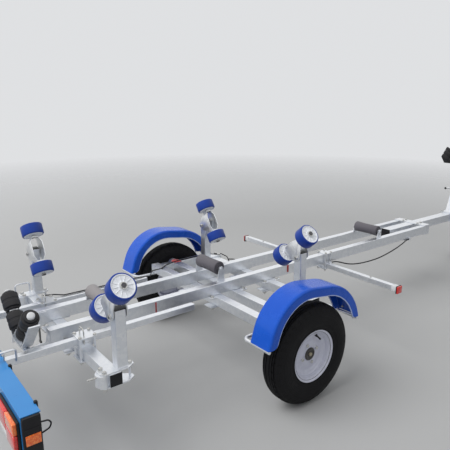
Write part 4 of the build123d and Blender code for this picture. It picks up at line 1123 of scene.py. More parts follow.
@dataclass
class BareFrame:
    """The parts of the frame that keep their CAD shape, and the finish of every CAD part."""

    coats: dict[Finish, tuple[str, ...]] = field(default_factory=lambda: {
        GALVANISED: (
            "rail_left", "rail_right", "rear_cross_tube", "middle_cross_tube", "axle_beam",
            "front_cross_tube", "drawbar", "light_arms", "marker_arm", "roller_posts",
            "side_members", "winch_post", "axle_arms", "cradle_mount", "keel_brackets",
            "mudguard_stays", "jockey_tube", "coupling", "post_clamps", "cradle",
            "winch_frame", "arm_clamps", "drawbar_clamps",
        ),
        ZINC: ("winch_drum", "jockey_leg", "jockey_fork", "jockey_crank", "rocker_rear_left",
               "rocker_rear_right", "rocker_front_left", "rocker_front_right"),
        GUARD_BLUE: ("mudguard_left", "mudguard_right"),
        BOARD_BLUE: ("light_board",),
        BLACK_PLASTIC: ("tube_caps",),
        BLACK_RUBBER: ("bow_stop", "front_cable", "jockey_wheel", "cradle_roller_left_lower",
                       "cradle_roller_left_upper", "cradle_roller_right_lower",
                       "cradle_roller_right_upper"),
        GREY_RUBBER: ("front_keel_roller", "middle_keel_roller"),
        TAUPE_RUBBER: ("rear_keel_roller",),
        RED_LENS: ("tail_lamps",),
        REFLECTOR_RED: ("marker_reflectors",),
        ROLLER_BLUE: tuple(f"roller_{end}_{side}_{place}" for end in ("rear", "front")
                           for side in ("left", "right") for place in ("outer", "inner")),
        TYRE_BLACK: ("tyre_left", "tyre_right"),
        RIM_SILVER: ("rim_left", "rim_right"),
    })

    def build(self) -> None:
        """Give every CAD part its finish."""
        for finish, names in self.coats.items():
            for name in names:
                part = frame["nodes"][name]
                if not part.material_slots:
                    part.data.materials.append(None)
                for holder in part.material_slots:
                    holder.material = material_of(finish)
                LOG.info("%s is coated in %s", name, finish.name)


# Wheels


@dataclass
class RoadWheel:
    """Tyre and pressed rim of one road wheel; profiles are (outward from the middle, radius)."""

    side: int
    steps: int = 120
    track: float = 615.0
    tyre_profile: tuple[Pair, ...] = (
        (50.0, 120.0), (50.5, 131.0), (52.5, 136.0), (55.0, 137.2), (55.8, 139.6), (55.2, 142.0),
        (57.2, 151.0), (58.8, 160.0), (59.8, 161.0), (60.6, 171.0), (61.6, 182.0), (61.8, 192.0),
        (61.2, 199.0), (60.0, 200.2), (59.4, 206.0), (58.0, 212.5), (56.0, 219.0), (53.4, 226.0),
        (50.2, 232.4), (46.2, 238.2), (41.6, 242.8), (36.6, 246.2), (35.8, 242.0), (32.8, 242.0),
        (32.0, 248.4), (26.0, 250.4), (25.2, 246.0), (22.4, 246.0), (21.6, 251.8), (13.2, 252.4),
        (12.4, 247.2), (9.6, 247.2), (8.8, 252.5), (0.0, 252.5),
    )
    rim_profile: tuple[Pair, ...] = (
        (48.0, 119.0), (50.0, 124.6), (52.5, 129.4), (54.4, 131.4), (55.0, 130.6), (54.2, 127.6),
        (52.2, 123.6), (48.6, 119.4), (44.0, 117.0), (41.4, 115.8), (40.4, 112.8), (34.4, 111.6),
        (33.4, 108.6), (27.4, 107.4), (25.8, 104.2), (22.4, 101.4), (21.0, 96.0), (18.8, 91.4),
        (16.4, 89.0), (15.4, 84.0), (15.8, 76.0), (18.0, 71.0), (19.6, 67.0), (19.8, 46.0),
        (18.8, 38.0), (21.4, 35.0), (24.0, 33.6), (24.0, 32.4), (12.0, 32.4), (12.0, 86.0),
        (10.0, 95.0), (16.0, 104.0), (22.0, 110.0), (20.0, 113.6), (-30.0, 113.6), (-46.0, 115.0),
        (-52.0, 119.0), (-54.6, 130.4), (-52.0, 131.6), (-48.0, 119.0),
    )
    nut_circle: float = 50.0
    nuts: int = 4
    valve_turn: float = 62.0
    valve_circle: float = 93.0

    def __post_init__(self) -> None:
        """Work out the wheel's names and its placement, z out of the side."""
        self.name = "left" if self.side > 0 else "right"
        self.body = f"wheel_{self.name}"
        turn = Matrix.Rotation(radians(-90.0 * self.side), 4, "X")
        centre = (0.0, self.side * self.track, WHEEL_RADIUS)
        self.place = IN_PLACE @ Matrix.Translation(centre) @ turn

    def build(self) -> None:
        """Make the tyre and the rim."""
        self.mould_tyre()
        self.press_rim()

    def mould_tyre(self) -> None:
        """Turn the tyre and sink its shoulder and tread cuts."""
        stock = ring_of(mirrored(self.tyre_profile), self.steps)
        self.cut(stock, (44.0, 57.0), (220.0, 241.0), 3, 1.0, 1.6)
        self.cut(stock, (36.0, 44.0), (241.0, 247.0), 2, 1.6, 1.4)
        self.cut(stock, (26.0, 32.0), (248.0, 250.5), 3, 3.0, 1.6)
        tyre = Piece(f"{self.body}_tyre", self.body, self.place)
        tyre.add(TYRE_BLACK, stock)
        tyre.build(f"tyre_{self.name}", sharp=28.0)

    def cut(self, stock: Mesh, across: Pair, around: Pair, every: int, depth: float,
            lip: float) -> None:
        """Sink every so many faces of the bands between two widths and two radii.

        Args:
            stock: The tyre.
            across: Least and greatest distance of a face from the middle.
            around: Least and greatest radius of a face.
            every: One face in this many is sunk.
            depth: How deep.
            lip: Width left round the cut.
        """
        chosen = []
        for face in stock.faces:
            centre = face.calc_center_median()
            flat = centre.to_2d()
            turn = flat.angle_signed(Vector((1.0, 0.0))) / (2 * pi)
            step = int(round(turn * self.steps - 0.5))
            inside = across[0] < abs(centre.z) < across[1] and around[0] < flat.length < around[1]
            if inside and step % every == 0:
                chosen.append(face)
        bmesh.ops.inset_individual(stock, faces=chosen, thickness=lip, depth=-depth)

    def press_rim(self) -> None:
        """Turn the rim and add its hub, nuts and valve."""
        rim = Piece(f"{self.body}_rim", self.body, self.place)
        rim.add(RIM_SILVER, ring_of(self.rim_profile, 96))
        hub = [(-26.0, 15.0), (-26.0, 33.0), (10.0, 33.0), (25.0, 32.6), (28.0, 31.0), (30.0, 27.0),
               (30.0, 24.0), (26.0, 22.0), (24.0, 16.0), (24.0, 11.0), (-20.0, 11.0)]
        plug = [(14.0, 0.0), (14.0, 12.0), (25.0, 12.0), (26.0, 10.0), (26.0, 0.0)]
        rim.add(GREASE, ring_of(hub, 48))
        rim.add(GREASE, turned(plug, 40))
        rim.add(YELLOW_ZINC, hexagon(17.0, 7.0), aim((0.0, 0.0, 26.0), (0, 0, 1), 9.0))
        cone = [(-1.0, 0.0), (-1.0, 11.0), (0.0, 11.0), (2.0, 8.6), (2.0, 0.0)]
        for number in range(self.nuts):
            turn = 2 * pi * number / self.nuts + 0.35
            at = (self.nut_circle * cos(turn), self.nut_circle * sin(turn), 19.5)
            rim.add(RIM_SILVER, turned(cone, 20), aim(at, (0, 0, 1)))
            rim.add(FASTENER, hexagon(15.0, 9.0), aim(at, (0, 0, 1), 17.0 * number))
        stem = [(-4.0, 0.0), (-4.0, 7.0), (3.0, 6.4), (8.0, 4.4), (22.0, 3.8), (22.4, 4.8),
                (31.0, 4.6), (32.0, 3.4), (32.0, 0.0)]
        outward = Vector((cos(radians(self.valve_turn)), sin(radians(self.valve_turn)), 0.0))
        up = Vector((0.0, 0.0, 1.0))
        rim.add(BLACK_RUBBER, turned(stem, 16),
                aim(outward * self.valve_circle + up * 21.0, up - outward * 0.25))
        rim.build(f"rim_{self.name}")


@dataclass
class MudguardLipAndBolts:
    """Bead along the lips of one mudguard, painted pale blue as a highlight, and its front bolts.
    """

    side: int
    inner: float = 554.0
    outer: float = 683.0
    skirt: float = 45.0
    foot: float = 380.0
    line: tuple[Pair, ...] = ((-311.0, 375.0), (-228.0, 638.0), (257.0, 567.0), (308.0, 375.0))
    bends: Pair = (240.0, 275.0)
    corner: float = 28.0
    wall: float = 15.0
    bead: float = 3.0
    bead_past: float = 1.2
    bolts_at: float = 402.0

    def points(self, inset: float) -> list[Pair]:
        """Corner points of the arch moved inward.

        Args:
            inset: How far.

        Returns:
            The points, as (x, z).
        """
        ways = []
        for (x0, z0), (x1, z1) in zip(self.line, self.line[1:]):
            run = hypot(x1 - x0, z1 - z0)
            ways.append(((z1 - z0) / run, (x0 - x1) / run))
        ways = [ways[0], *ways, ways[-1]]
        moved = []
        for (x, z), (ax, az), (bx, bz) in zip(self.line, ways, ways[1:]):
            reach = inset / (1 + ax * bx + az * bz)
            moved.append((x + reach * (ax + bx), z + reach * (az + bz)))
        return moved

    def build(self) -> None:
        """Run the bead with its painted highlight round both skirts and fit the bolts."""
        name = "left" if self.side > 0 else "right"
        edge = self.points(self.skirt + self.bead_past)
        wall = self.points(self.wall)
        low = self.foot + self.bead * 0.7
        runs = (wall[:2], edge[:2], edge[:-3:-1], wall[:-3:-1])
        ends = [self.at_height(low, *run) for run in runs]
        arch = [*ends[:2], edge[1], edge[2], *ends[2:]]
        bends = [self.corner, *[bend - self.skirt for bend in self.bends], self.corner]
        lit_lip = Piece(f"mudguard_{name}_trim")
        for across in (self.inner + self.bead, self.outer - self.bead):
            route = [(x, self.side * across, z) for x, z in arch]
            # The bead's pale blue is a painted highlight along the guard's lip
            lit_lip.add(GUARD_LIP_HIGHLIGHT, bent_bar(route, self.bead, bends, 10))
        lit_lip.build()
        self.fit_bolts(name)

    def at_height(self, height: float, end: Pair, before: Pair) -> Pair:
        """Where an end run of the arch passes a height."""
        share = (height - end[1]) / (before[1] - end[1])
        return (end[0] + share * (before[0] - end[0]), height)

    def fit_bolts(self, name: str) -> None:
        """Bolt the front end of the guard to its stay.

        Args:
            name: Its side, left or right.
        """
        bolts = Piece(f"mudguard_{name}_bolts")
        end, before = self.points(0.0)[:-3:-1]
        middle = self.side * (self.inner + self.outer) / 2
        rise = Vector((before[0] - end[0], 0.0, before[1] - end[1])).normalized()
        out = Vector((rise.z, 0.0, -rise.x))
        x, z = self.at_height(self.bolts_at, end, before)
        for across in (-34.0, 34.0):
            bolts.bolt(Vector((x, middle + across, z)) - out * 0.4, out, 6.0, 5.0)
        bolts.build()


# Rollers


@dataclass
class BlueRoller:
    """Blue tyre moulded on a ribbed white hub, turning on its spindle."""

    body: str
    has_black_strip: bool = False
    half: float = 27.5
    rim: float = 47.0
    bore: float = 8.6
    web: float = 24.7
    ribs: int = 12
    tyre: tuple[Pair, ...] = (
        (27.5, 47.0), (27.5, 49.8), (26.9, 51.6), (25.4, 53.0), (22.8, 54.0), (0.0, 54.0),
    )

    def build(self) -> None:
        """Mould the tyre and the hub and fit ribs to both faces."""
        roller = Piece(f"{self.body}_moulding", self.body, joint_place(self.body))
        band = [*mirrored(self.tyre), (-25.0, 46.0), (25.0, 46.0)]
        roller.add(ROLLER_BLUE, ring_of(band, 72))
        half, web = self.half, self.web
        hub = [(half, self.rim), (half, 43.5), (half - 0.8, 43.0), (web, 42.4), (web, 20.0),
               (half - 0.8, 18.4), (half, 17.6), (half, self.bore)]
        roller.add(HUB_WHITE, ring_of(mirrored(hub), 72))
        turns = [2 * pi * number / self.ribs for number in range(self.ribs)]
        spots = [Matrix.Rotation(turn, 4, "Z") for turn in turns]
        for side in SIDES:
            low, high = sorted((side * (web - 1.0), side * (half - 0.9)))
            roller.add(HUB_WHITE, block((19.0, -1.2, low), (43.2, 1.2, high), 0.5, 1), *spots)
        # A black strip on one face of the hub, running out from near the bore towards the rim
        if self.has_black_strip:
            roller.box(BLACK_PLASTIC, (20.5, 42.0), (2.6, 5.0), (web - 0.5, half - 0.6), 0.4, 1)
        roller.build(self.body)


@dataclass
class Rocker:
    """Twin leaf plates with folded rims, end webs, spindles and a pivot bolt."""

    name: str
    tilt: float
    side: int
    post: Pair
    pivot_height: float = 648.0
    leaf_in: float = 26.0
    leaf_thick: float = 5.0
    leaf_end: float = 69.0
    knee: float = 36.0
    end_out: float = 15.0
    end_half: float = 13.0
    lift: float = 65.0
    span: float = 205.0

    def build(self) -> None:
        """Make the rocker in its own axes: x ahead, y along the spindles, z off the post."""
        pivot = (self.post[0], self.side * self.post[1], self.pivot_height)
        place = IN_PLACE @ Matrix.Translation(pivot)
        place = place @ Matrix.Rotation(radians(self.side * self.tilt), 4, "X")
        rocker = Piece(f"rocker_{self.name}_leaves", f"rocker_{self.name}", place)
        self.fold_leaves(rocker)
        self.fit_spindles(rocker)
        rocker.build(f"rocker_{self.name}")

    def fold_leaves(self, rocker: Piece) -> None:
        """Two leaf plates that close in towards their ends, ribbed outside, and their webs.

        Args:
            rocker: Piece that takes them.
        """
        out = self.leaf_in + self.leaf_thick
        leaf = self.outline(self.leaf_end, 19.0, -15.0, self.end_half, self.end_half, 22.0)
        rib = self.outline(self.leaf_end - 16.0, 13.0, 12.0, 6.0, 5.0, 12.0)
        layers = (
            (leaf, self.leaf_thick, 1.0, 7.0, -out, 1),
            (leaf, self.leaf_thick, 1.0, 7.0, self.leaf_in, -1),
            (rib, 2.2, 0.9, 6.0, -out - 1.8, 1),
            (rib, 2.2, 0.9, 6.0, out - 0.4, -1),
        )
        stand = Matrix(((0, 0, 1, 0), (1, 0, 0, 0), (0, 1, 0, 0), (0, 0, 0, 1)))
        for outline, thick, edge, corner, x, way in layers:
            rocker.add(ZINC, self.bowed(plate(outline, thick, edge, corner), way),
                       Matrix.Translation((x, 0.0, 0.0)) @ stand)
        for end in (-1, 1):
            rocker.box(ZINC, (-self.end_out, self.end_out),
                       (end * self.leaf_end, end * (self.leaf_end - 8.0)),
                       (self.lift - self.end_half, self.lift + self.end_half), 1.2)

    def outline(self, end: float, foot: float, base: float, under: float, over: float,
                peak: float) -> list[Pair]:
        """Outline of a leaf or its rib, as (along the spindles, off the post).

        Args:
            end: Half its length at the spindles.
            foot: Half its width at its foot.
            base: Height of its foot.
            under: How far its ends reach below the spindles.
            over: How far they reach above them.
            peak: How far its middle reaches above them.

        Returns:
            Its seven corners.
        """
        low, high = self.lift - under, self.lift + over
        return [(-end, low), (-foot, base), (foot, base), (end, low), (end, high),
                (0.0, self.lift + peak), (-end, high)]

    def bowed(self, leaf: Mesh, way: int) -> Mesh:
        """Bend a flat leaf at both knees so that its ends close in.

        Args:
            leaf: Plate that lies along x on z 0.
            way: 1 if its ends go up, -1 if down.

        Returns:
            The same leaf, bent.
        """
        for knee in (-self.knee, self.knee):
            bmesh.ops.bisect_plane(leaf, geom=[*leaf.verts, *leaf.edges, *leaf.faces], dist=0.001,
                                   plane_co=(knee, 0.0, 0.0), plane_no=(1.0, 0.0, 0.0))
        slope = (self.leaf_in + self.leaf_thick - self.end_out) / (self.leaf_end - self.knee)
        for point in leaf.verts:
            point.co.z += way * slope * max(0.0, abs(point.co.x) - self.knee)
        return leaf

    def fit_spindles(self, rocker: Piece) -> None:
        """Spindles with spacers and nuts, and the pivot bolt through both leaves.

        Args:
            rocker: Piece that takes them.
        """
        past = self.span / 2 + 30.5
        root = self.leaf_end - 4.0
        spacer = [(0.0, 8.2), (0.0, 14.0), (3.0, 14.0), (3.0, 8.2)]
        for end in (-1, 1):
            def along(out: float, spin: float = 0.0) -> Matrix:
                """Placement on the spindle's axis, facing out."""
                return aim((0.0, end * out, self.lift), (0.0, end, 0.0), spin)

            rocker.add(DARK_BOLT, rod(8.0, past + 6.0 - root, 24, 0.8), along(root))
            rocker.add(FASTENER, ring_of(spacer, 28), along(self.leaf_end), along(past))
            rocker.add(DARK_BOLT, hexagon(19.0, 5.0), along(past + 2.6, 11.0))
        wide = self.leaf_in + self.leaf_thick
        rocker.add(ZINC, rod(6.0, 2 * wide + 14.0, 20, 0.8), aim((-wide - 7.0, 0, 0), (1, 0, 0)))
        for end in (-1, 1):
            rocker.add(FASTENER, hexagon(19.0, 7.0), aim((end * wide, 0, 0), (end, 0, 0), 8.0))


@dataclass
class KeelRoller:
    """Rubber roller between the rails, waisted in the middle."""

    body: str
    half: float
    radius: float
    finish: Finish = GREY_RUBBER

    def build(self) -> None:
        """Turn the roller round its pin."""
        half, top = self.half, self.radius
        profile = [(half, 9.0), (half, 17.0), (half - 2.0, 19.0), (half - 2.0, 24.0),
                   (half, 26.0), (half, top - 5.0), (half - 1.6, top - 1.8), (half - 5.0, top),
                   (half * 0.45, top - 2.0), (half * 0.2, top - 2.6), (0.0, top - 2.8)]
        roller = Piece(f"{self.body}_rubber", self.body, joint_place(self.body))
        roller.add(self.finish, ring_of(mirrored(profile), 56))
        roller.build(self.body)


@dataclass
class CradleRoller:
    """Black roller with stepped ends and a white bush."""

    body: str
    half: float = 42.0
    radius: float = 37.0

    def build(self) -> None:
        """Turn the roller and push its bushes in."""
        half, top = self.half, self.radius
        profile = [(half, 16.0), (half, 25.0), (half - 1.5, 26.5), (half - 8.0, 27.5),
                   (half - 9.5, 29.0), (half - 9.5, top - 3.0), (half - 11.0, top - 0.8),
                   (half - 14.0, top), (6.0, top), (5.0, top - 1.2), (0.0, top - 1.2)]
        bush = [(half, 8.7), (half, 14.6), (half - 0.8, 16.2)]
        roller = Piece(f"{self.body}_rubber", self.body, joint_place(self.body))
        roller.add(BLACK_RUBBER, ring_of(mirrored(profile), 56))
        roller.add(WHITE_PLASTIC, ring_of(mirrored(bush), 40))
        roller.build(self.body)


@dataclass
class CradleHardware:
    """Plugs on the cradle's shafts, pin ends and nuts, and the strap that hangs by it."""

    rise: float = 47.0
    start: Pair = (64.0, 487.0)
    pitch: float = 93.0
    x: float = -1125.0
    pin: float = 12.0

    def build(self) -> None:
        """Fit what rides on the cradle and what stays with the frame."""
        plugs = Piece("cradle_plugs", "cradle")
        pin = Piece("cradle_pin_ends")
        cap = [(0.0, 0.0), (0.0, 15.0), (1.5, 16.0), (4.0, 15.6), (6.4, 13.0), (7.4, 8.0),
               (7.6, 0.0)]
        for side in SIDES:
            out = Vector((0.0, side * cos(radians(self.rise)), sin(radians(self.rise))))
            foot = Vector((self.x, side * self.start[0], self.start[1]))
            foot += out * (self.pitch * 1.5 + 1.2)
            plugs.add(WHITE_PLASTIC, turned(cap, 36), aim(foot, out))
            end, way = Vector((self.x, side * 80.0, 396.0)), Vector((0.0, side, 0.0))
            pin.add(FASTENER, washer(self.pin), aim(end, way))
            pin.nut(end + way * WASHER * self.pin, way, self.pin, 2.0, 20.0)
        plugs.build()
        pin.build()
        self.hang_strap()

    def hang_strap(self) -> None:
        """Short black strap that hangs from a thin rod between the rails' ends."""
        strap = Piece("rear_strap")
        strap.box(BLACK_STRAP, (-1051.0, -1048.0), (-7.0, 15.0), (388.0, 462.0), 0.8)
        strap.box(BLACK_STRAP, (-1052.0, -1046.0), (-9.0, 17.0), (380.0, 392.0), 1.2)
        strap.add(FASTENER, rod(2.5, 150.0, 10), aim((-1049.5, -75.0, 461.0), (0, 1, 0)))
        strap.build()


# Clamps


@dataclass
class PostClamps:
    """Nuts, bolts and lugs of the four post clamps, and the bent wire at the rear ones."""

    top: float = 436.0
    low: float = 374.0

    def build(self) -> None:
        """Bolt every clamp."""
        units = (("rear", REAR_POST, REAR_TUBE), ("front", FRONT_POST, FRONT_TUBE))
        for end, (x, y), tube in units:
            for hand, side in (("left", 1), ("right", -1)):
                clamp = Piece(f"post_clamp_{end}_{hand}_bolts")
                self.fit(clamp, x, side * y, tube)
                clamp.build()
        self.bend_wires()

    def fit(self, clamp: Piece, x: float, y: float, tube: float) -> None:
        """Fit one clamp.

        Args:
            clamp: Piece that takes it.
            x: Place of its post.
            y: Place of its post across.
            tube: Place of the cross tube that it holds.
        """
        toward = 1 if x > tube else -1
        near = tube - toward * 39.0
        for at, dy in ((near, -18.0), (near, 18.0), (x + toward * 38.5, 0.0)):
            clamp.bolt((at, y + dy, self.top), (0, 0, 1), 10.0, self.top - self.low)
        low, high = self.low + 6.0, self.top - 6.0
        shell = [(low, 0.0), (low, 27.0), (low + 1.0, 28.0), (high - 1.0, 28.0), (high, 27.0),
                 (high, 0.0)]
        shell_at = Matrix.Translation((tube - toward * 40.0, y, 0.0))
        clamp.add(GALVANISED, turned(shell, 48), shell_at)
        for dy in (-22.0, 22.0):
            clamp.box(GALVANISED, (x - 20.0, x + 20.0), (y + dy - 3.0, y + dy + 3.0),
                      (self.top, self.top + 5.0), 1.5)

    def bend_wires(self) -> None:
        """Wire loop on the far rear clamp and rod on the near one."""
        wires = Piece("rear_clamp_wires")
        wires.add(GALVANISED, bent_bar([(-1006.0, 500.0, 438.0), (-1006.0, 500.0, 488.0),
                                        (-934.0, 500.0, 488.0), (-934.0, 500.0, 438.0)], 4.0, 14.0))
        wires.add(FASTENER, rod(4.0, 44.0, 16, 0.8), aim((-996.0, -484.0, 424.0), (-1, 0, 0)))
        wires.build()


@dataclass
class RailClamps:
    """Tabs, tie plates and bolts where the cross tubes pass under the rails."""

    tubes: tuple[float, ...] = (REAR_TUBE, MIDDLE_TUBE, AXLE_BEAM, FRONT_TUBE)
    thick: float = 6.0
    fit: float = 0.2

    def build(self) -> None:
        """Clamp each cross tube to both rails."""
        for number, x in enumerate(self.tubes):
            clamp = Piece(f"rail_clamp_{number + 1}")
            open_ways = [way for way in (-1, 1) if not self.crowded(x, way)]
            back, front = (x + way * (60.0 if way in open_ways else 25.0) for way in (-1, 1))
            for side in SIDES:
                across = (side * (RAIL_Y - 18.0), side * (RAIL_Y + 46.0))
                for way in open_ways:
                    clamp.box(GALVANISED, (x + way * 26.0, x + way * 60.0), across,
                              (RAIL_LOW - self.thick, RAIL_LOW - self.fit), 1.2)
                    clamp.bolt((x + way * 44.0, side * (RAIL_Y + 33.0), RAIL_LOW), (0, 0, 1), 10.0,
                               RAIL_LOW - TUBE_LOW + self.thick, 20.0 * way)
                clamp.box(GALVANISED, (back, front), across,
                          (TUBE_LOW - self.thick, TUBE_LOW - self.fit), 1.2)
            clamp.build()

    def crowded(self, x: float, way: int) -> bool:
        """Whether the next cross tube leaves no room for a bolt on that side."""
        return any(0.0 < (other - x) * way < 130.0 for other in self.tubes)


@dataclass
class ArmClamps:
    """Nuts and wire bails of the clamps that hold the light arms and the marker arm."""

    def build(self) -> None:
        """Fit the nuts at each plate's corners, and the bails."""
        rear = Piece("light_arm_clamp_bolts")
        ahead = Piece("marker_clamp_bolts")
        for side in SIDES:
            y = side * LIGHT_ARM_Y
            for dx, dy in corners(32.0, 30.0):
                rear.bolt((REAR_TUBE + dx, y + dy, 480.0), (0, 0, 1), 8.0, 105.0)
            for x in (REAR_TUBE - 12.0, -1262.0):
                rear.add(FASTENER, bent_bar([(x, y - 22.0, 446.0), (x, y - 22.0, 512.0),
                                             (x, y + 22.0, 512.0), (x, y + 22.0, 446.0)],
                                            3.0, 15.0))
            for dx, dy in corners(24.0, 28.0):
                ahead.bolt((MARKER_X + dx, side * RAIL_Y + dy, 495.0), (0, 0, 1), 8.0, 100.0)
        for side in SIDES:
            ahead.bolt((MARKER_X, side * 460.0, 430.0), (0, 0, 1), 6.0)
        rear.build()
        ahead.build()


@dataclass
class TubeEnds:
    """Black plugs on posts, cross tubes and the board, and plain ends on the rails and arms."""

    thick: float = 4.0
    tube_half: float = 25.0
    tubes: tuple[Pair, ...] = ((REAR_TUBE, 512.0), (MIDDLE_TUBE, 512.0), (FRONT_TUBE, 482.0))

    def build(self) -> None:
        """Close every tube."""
        ends = Piece("tube_ends")
        for x, y in (REAR_POST, FRONT_POST):
            for side in SIDES:
                ends.box(BLACK_PLASTIC, (x - 22.5, x + 22.5), (side * y - 22.5, side * y + 22.5),
                         (673.0, 676.0), 1.2)
        for x, half in self.tubes:
            for side in SIDES:
                ends.box(BLACK_PLASTIC, (x - self.tube_half, x + self.tube_half),
                         (side * half, side * (half + self.thick)), (TUBE_LOW, RAIL_LOW), 1.2)
        steel = (
            (-1049.0, RAIL_Y, 20.0, (RAIL_LOW, RAIL_TOP)),
            (1865.0, RAIL_Y, 20.0, (RAIL_LOW, RAIL_TOP)),
            (-392.0, LIGHT_ARM_Y, 15.0, (445.0, 475.0)),
        )
        for side in SIDES:
            ends.box(BLACK_PLASTIC, (BOARD_REAR + 1.0, -1262.0),
                     (side * BOARD_HALF, side * (BOARD_HALF + 12.0)), (338.0, 470.0), 2.0)
            for x, y, half, high in steel:
                across = (side * y - half, side * y + half)
                ends.box(GALVANISED, (x, x + self.thick), across, high, 1.4)
        ends.box(BLACK_PLASTIC, (1494.0, 1498.0), (-35.0, 35.0), (RAIL_LOW, RAIL_TOP), 1.4)
        ends.build("tube_caps")


# Rear lights


@dataclass
class RearLights:
    """Lenses, side reflectors, blank plate, bolts, lead and handles of the light board."""

    lens_out: float = -1345.0
    lamp_y: Pair = (421.0, 632.0)
    lamp_z: Pair = (348.0, 458.0)

    def build(self) -> None:
        """Dress the board from side to side."""
        self.fit_lamps()
        self.fit_ends()
        self.fit_plate()
        self.fit_bolts()
        self.hang_lead()
        self.fit_handles()

    def fit_lamps(self) -> None:
        """Black housings with red, orange and clear lenses."""
        lamps = Piece("tail_lamp_units")
        inner, outer = self.lamp_y
        low, high = self.lamp_z
        depth = (self.lens_out, BOARD_REAR - 9.0)
        for side in SIDES:
            red = (side * (inner + 3.0), side * (inner + 117.0))
            amber = (side * (inner + 119.0), side * (outer - 3.0))
            lamps.box(BLACK_PLASTIC, (BOARD_REAR - 10.0, BOARD_REAR), (side * inner, side * outer),
                      (low, high), 3.0)
            lamps.box(RED_LENS, depth, red, (low + 34.0, high - 3.0), 4.0, 3)
            lamps.box(ORANGE_LENS, depth, amber, (high - 46.0, high - 3.0), 4.0, 3)
            lamps.box(RED_LENS, depth, amber, (low + 3.0, high - 48.0), 4.0, 3)
            lamps.box(CLEAR_LENS, (depth[0] + 2.0, depth[1]), red, (low + 3.0, low + 32.0), 4.0, 3)
            for y in sorted((side * (inner + 9.0), side * (outer - 12.0))):
                lamps.add(FASTENER, rod(3.0, 2.0, 14, 0.6),
                          aim((self.lens_out + 2.2, y, high - 52.0), (-1, 0, 0)))
        lamps.build("tail_lamps")

    def fit_ends(self) -> None:
        """Orange reflectors on the board's end blocks, and a strip over each block."""
        ends = Piece("board_end_reflectors")
        for side in SIDES:
            ends.box(BLACK_PLASTIC, (-1316.0, -1266.0),
                     (side * (BOARD_HALF + 8.0), side * (BOARD_HALF + 15.0)), (346.0, 436.0), 2.0)
            ends.box(ORANGE_LENS, (-1315.0, -1267.0),
                     (side * (BOARD_HALF + 13.0), side * (BOARD_HALF + 18.0)), (380.0, 416.0), 2.0)
            ends.box(BLACK_PLASTIC, (-1318.5, -1262.5),
                     (side * (BOARD_HALF - 4.0), side * (BOARD_HALF + 11.0)), (467.0, 475.0), 0.8)
        ends.build()

    def fit_plate(self) -> None:
        """Blank plate on black holders in the middle of the board."""
        sign = Piece("blank_number_plate")
        depth = (BOARD_REAR - 5.0, BOARD_REAR - 3.0)
        sign.box(PLATE_WHITE, depth, (-260.0, 260.0), self.lamp_z, 0.6)
        for y in (-200.0, 200.0):
            sign.box(BLACK_PLASTIC, (BOARD_REAR - 3.2, BOARD_REAR), (y - 20.0, y + 20.0),
                     (344.0, 462.0), 0.8)
            sign.add(FASTENER, rod(4.5, 2.2, 14, 0.8),
                     aim((BOARD_REAR - 4.9, y, 403.0), (-1, 0, 0)))
        sign.build()

    def fit_bolts(self) -> None:
        """Bolts through the board's top lip, and clips on its front edge."""
        bolts = Piece("light_board_bolts")
        for side in SIDES:
            bolts.bolt((-1290.0, side * LIGHT_ARM_Y, BOARD_TOP), (0, 0, 1), 8.0)
            for y in (302.0, 587.0):
                bolts.box(BLACK_PLASTIC, (-1262.0, -1250.0), (side * y - 7.0, side * y + 7.0),
                          (460.0, 485.0), 3.0)
        bolts.build()

    def hang_lead(self) -> None:
        """Lead behind the right lamp, and its loop past the board's end."""
        lead = Piece("light_board_lead")
        lead.add(BLACK_RUBBER, bent_bar([(-1318.0, -520.0, 420.0), (-1280.0, -520.0, 420.0),
                                         (-1262.0, -560.0, 352.0), (-1262.0, -606.0, 352.0),
                                         (-1284.0, -630.0, 420.0), (-1318.0, -630.0, 430.0)],
                                        3.2, 14.0))
        lead.add(BLACK_RUBBER, bent_bar([(-1268.0, -644.0, 442.0), (-1238.0, -644.0, 438.0),
                                         (-1228.0, -644.0, 424.0), (-1236.0, -644.0, 408.0),
                                         (-1268.0, -644.0, 398.0)], 2.8, 12.0, 8))
        lead.build()

    def fit_handles(self) -> None:
        """Bent bars from the arms' outer sides over the board."""
        handles = Piece("light_board_handles")
        for y in (-247.0, 247.0):
            handles.add(GALVANISED, bent_bar([(-1217.0, y, 462.0), (-1217.0, y, 512.0),
                                              (-1303.0, y, 512.0), (-1303.0, y, BOARD_TOP)],
                                             4.5, 12.0, 6))
        handles.build()


@dataclass
class MarkerEnds:
    """White end caps and reflectors of the marker arm."""

    half: float = 640.0
    top: float = 434.0

    def build(self) -> None:
        """Cap and dress both ends."""
        ends = Piece("marker_arm_ends")
        layers = (
            (WHITE_PLASTIC, 17.0, (-32.0, 1.0), (-36.0, -2.0), 3.0, 2),
            (BLACK_PLASTIC, 22.0, (0.0, 6.0), (-44.0, 0.0), 2.5, 2),
            (REFLECTOR_RED, 20.5, (5.0, 14.0), (-42.5, -1.5), 3.0, 3),
        )
        for side in SIDES:
            for finish, wide, past, high, edge, segments in layers:
                ends.box(finish, (MARKER_X - wide, MARKER_X + wide),
                         (side * (self.half + past[0]), side * (self.half + past[1])),
                         (self.top + high[0], self.top + high[1]), edge, segments)
        ends.build("marker_reflectors")


# Wiring and tags


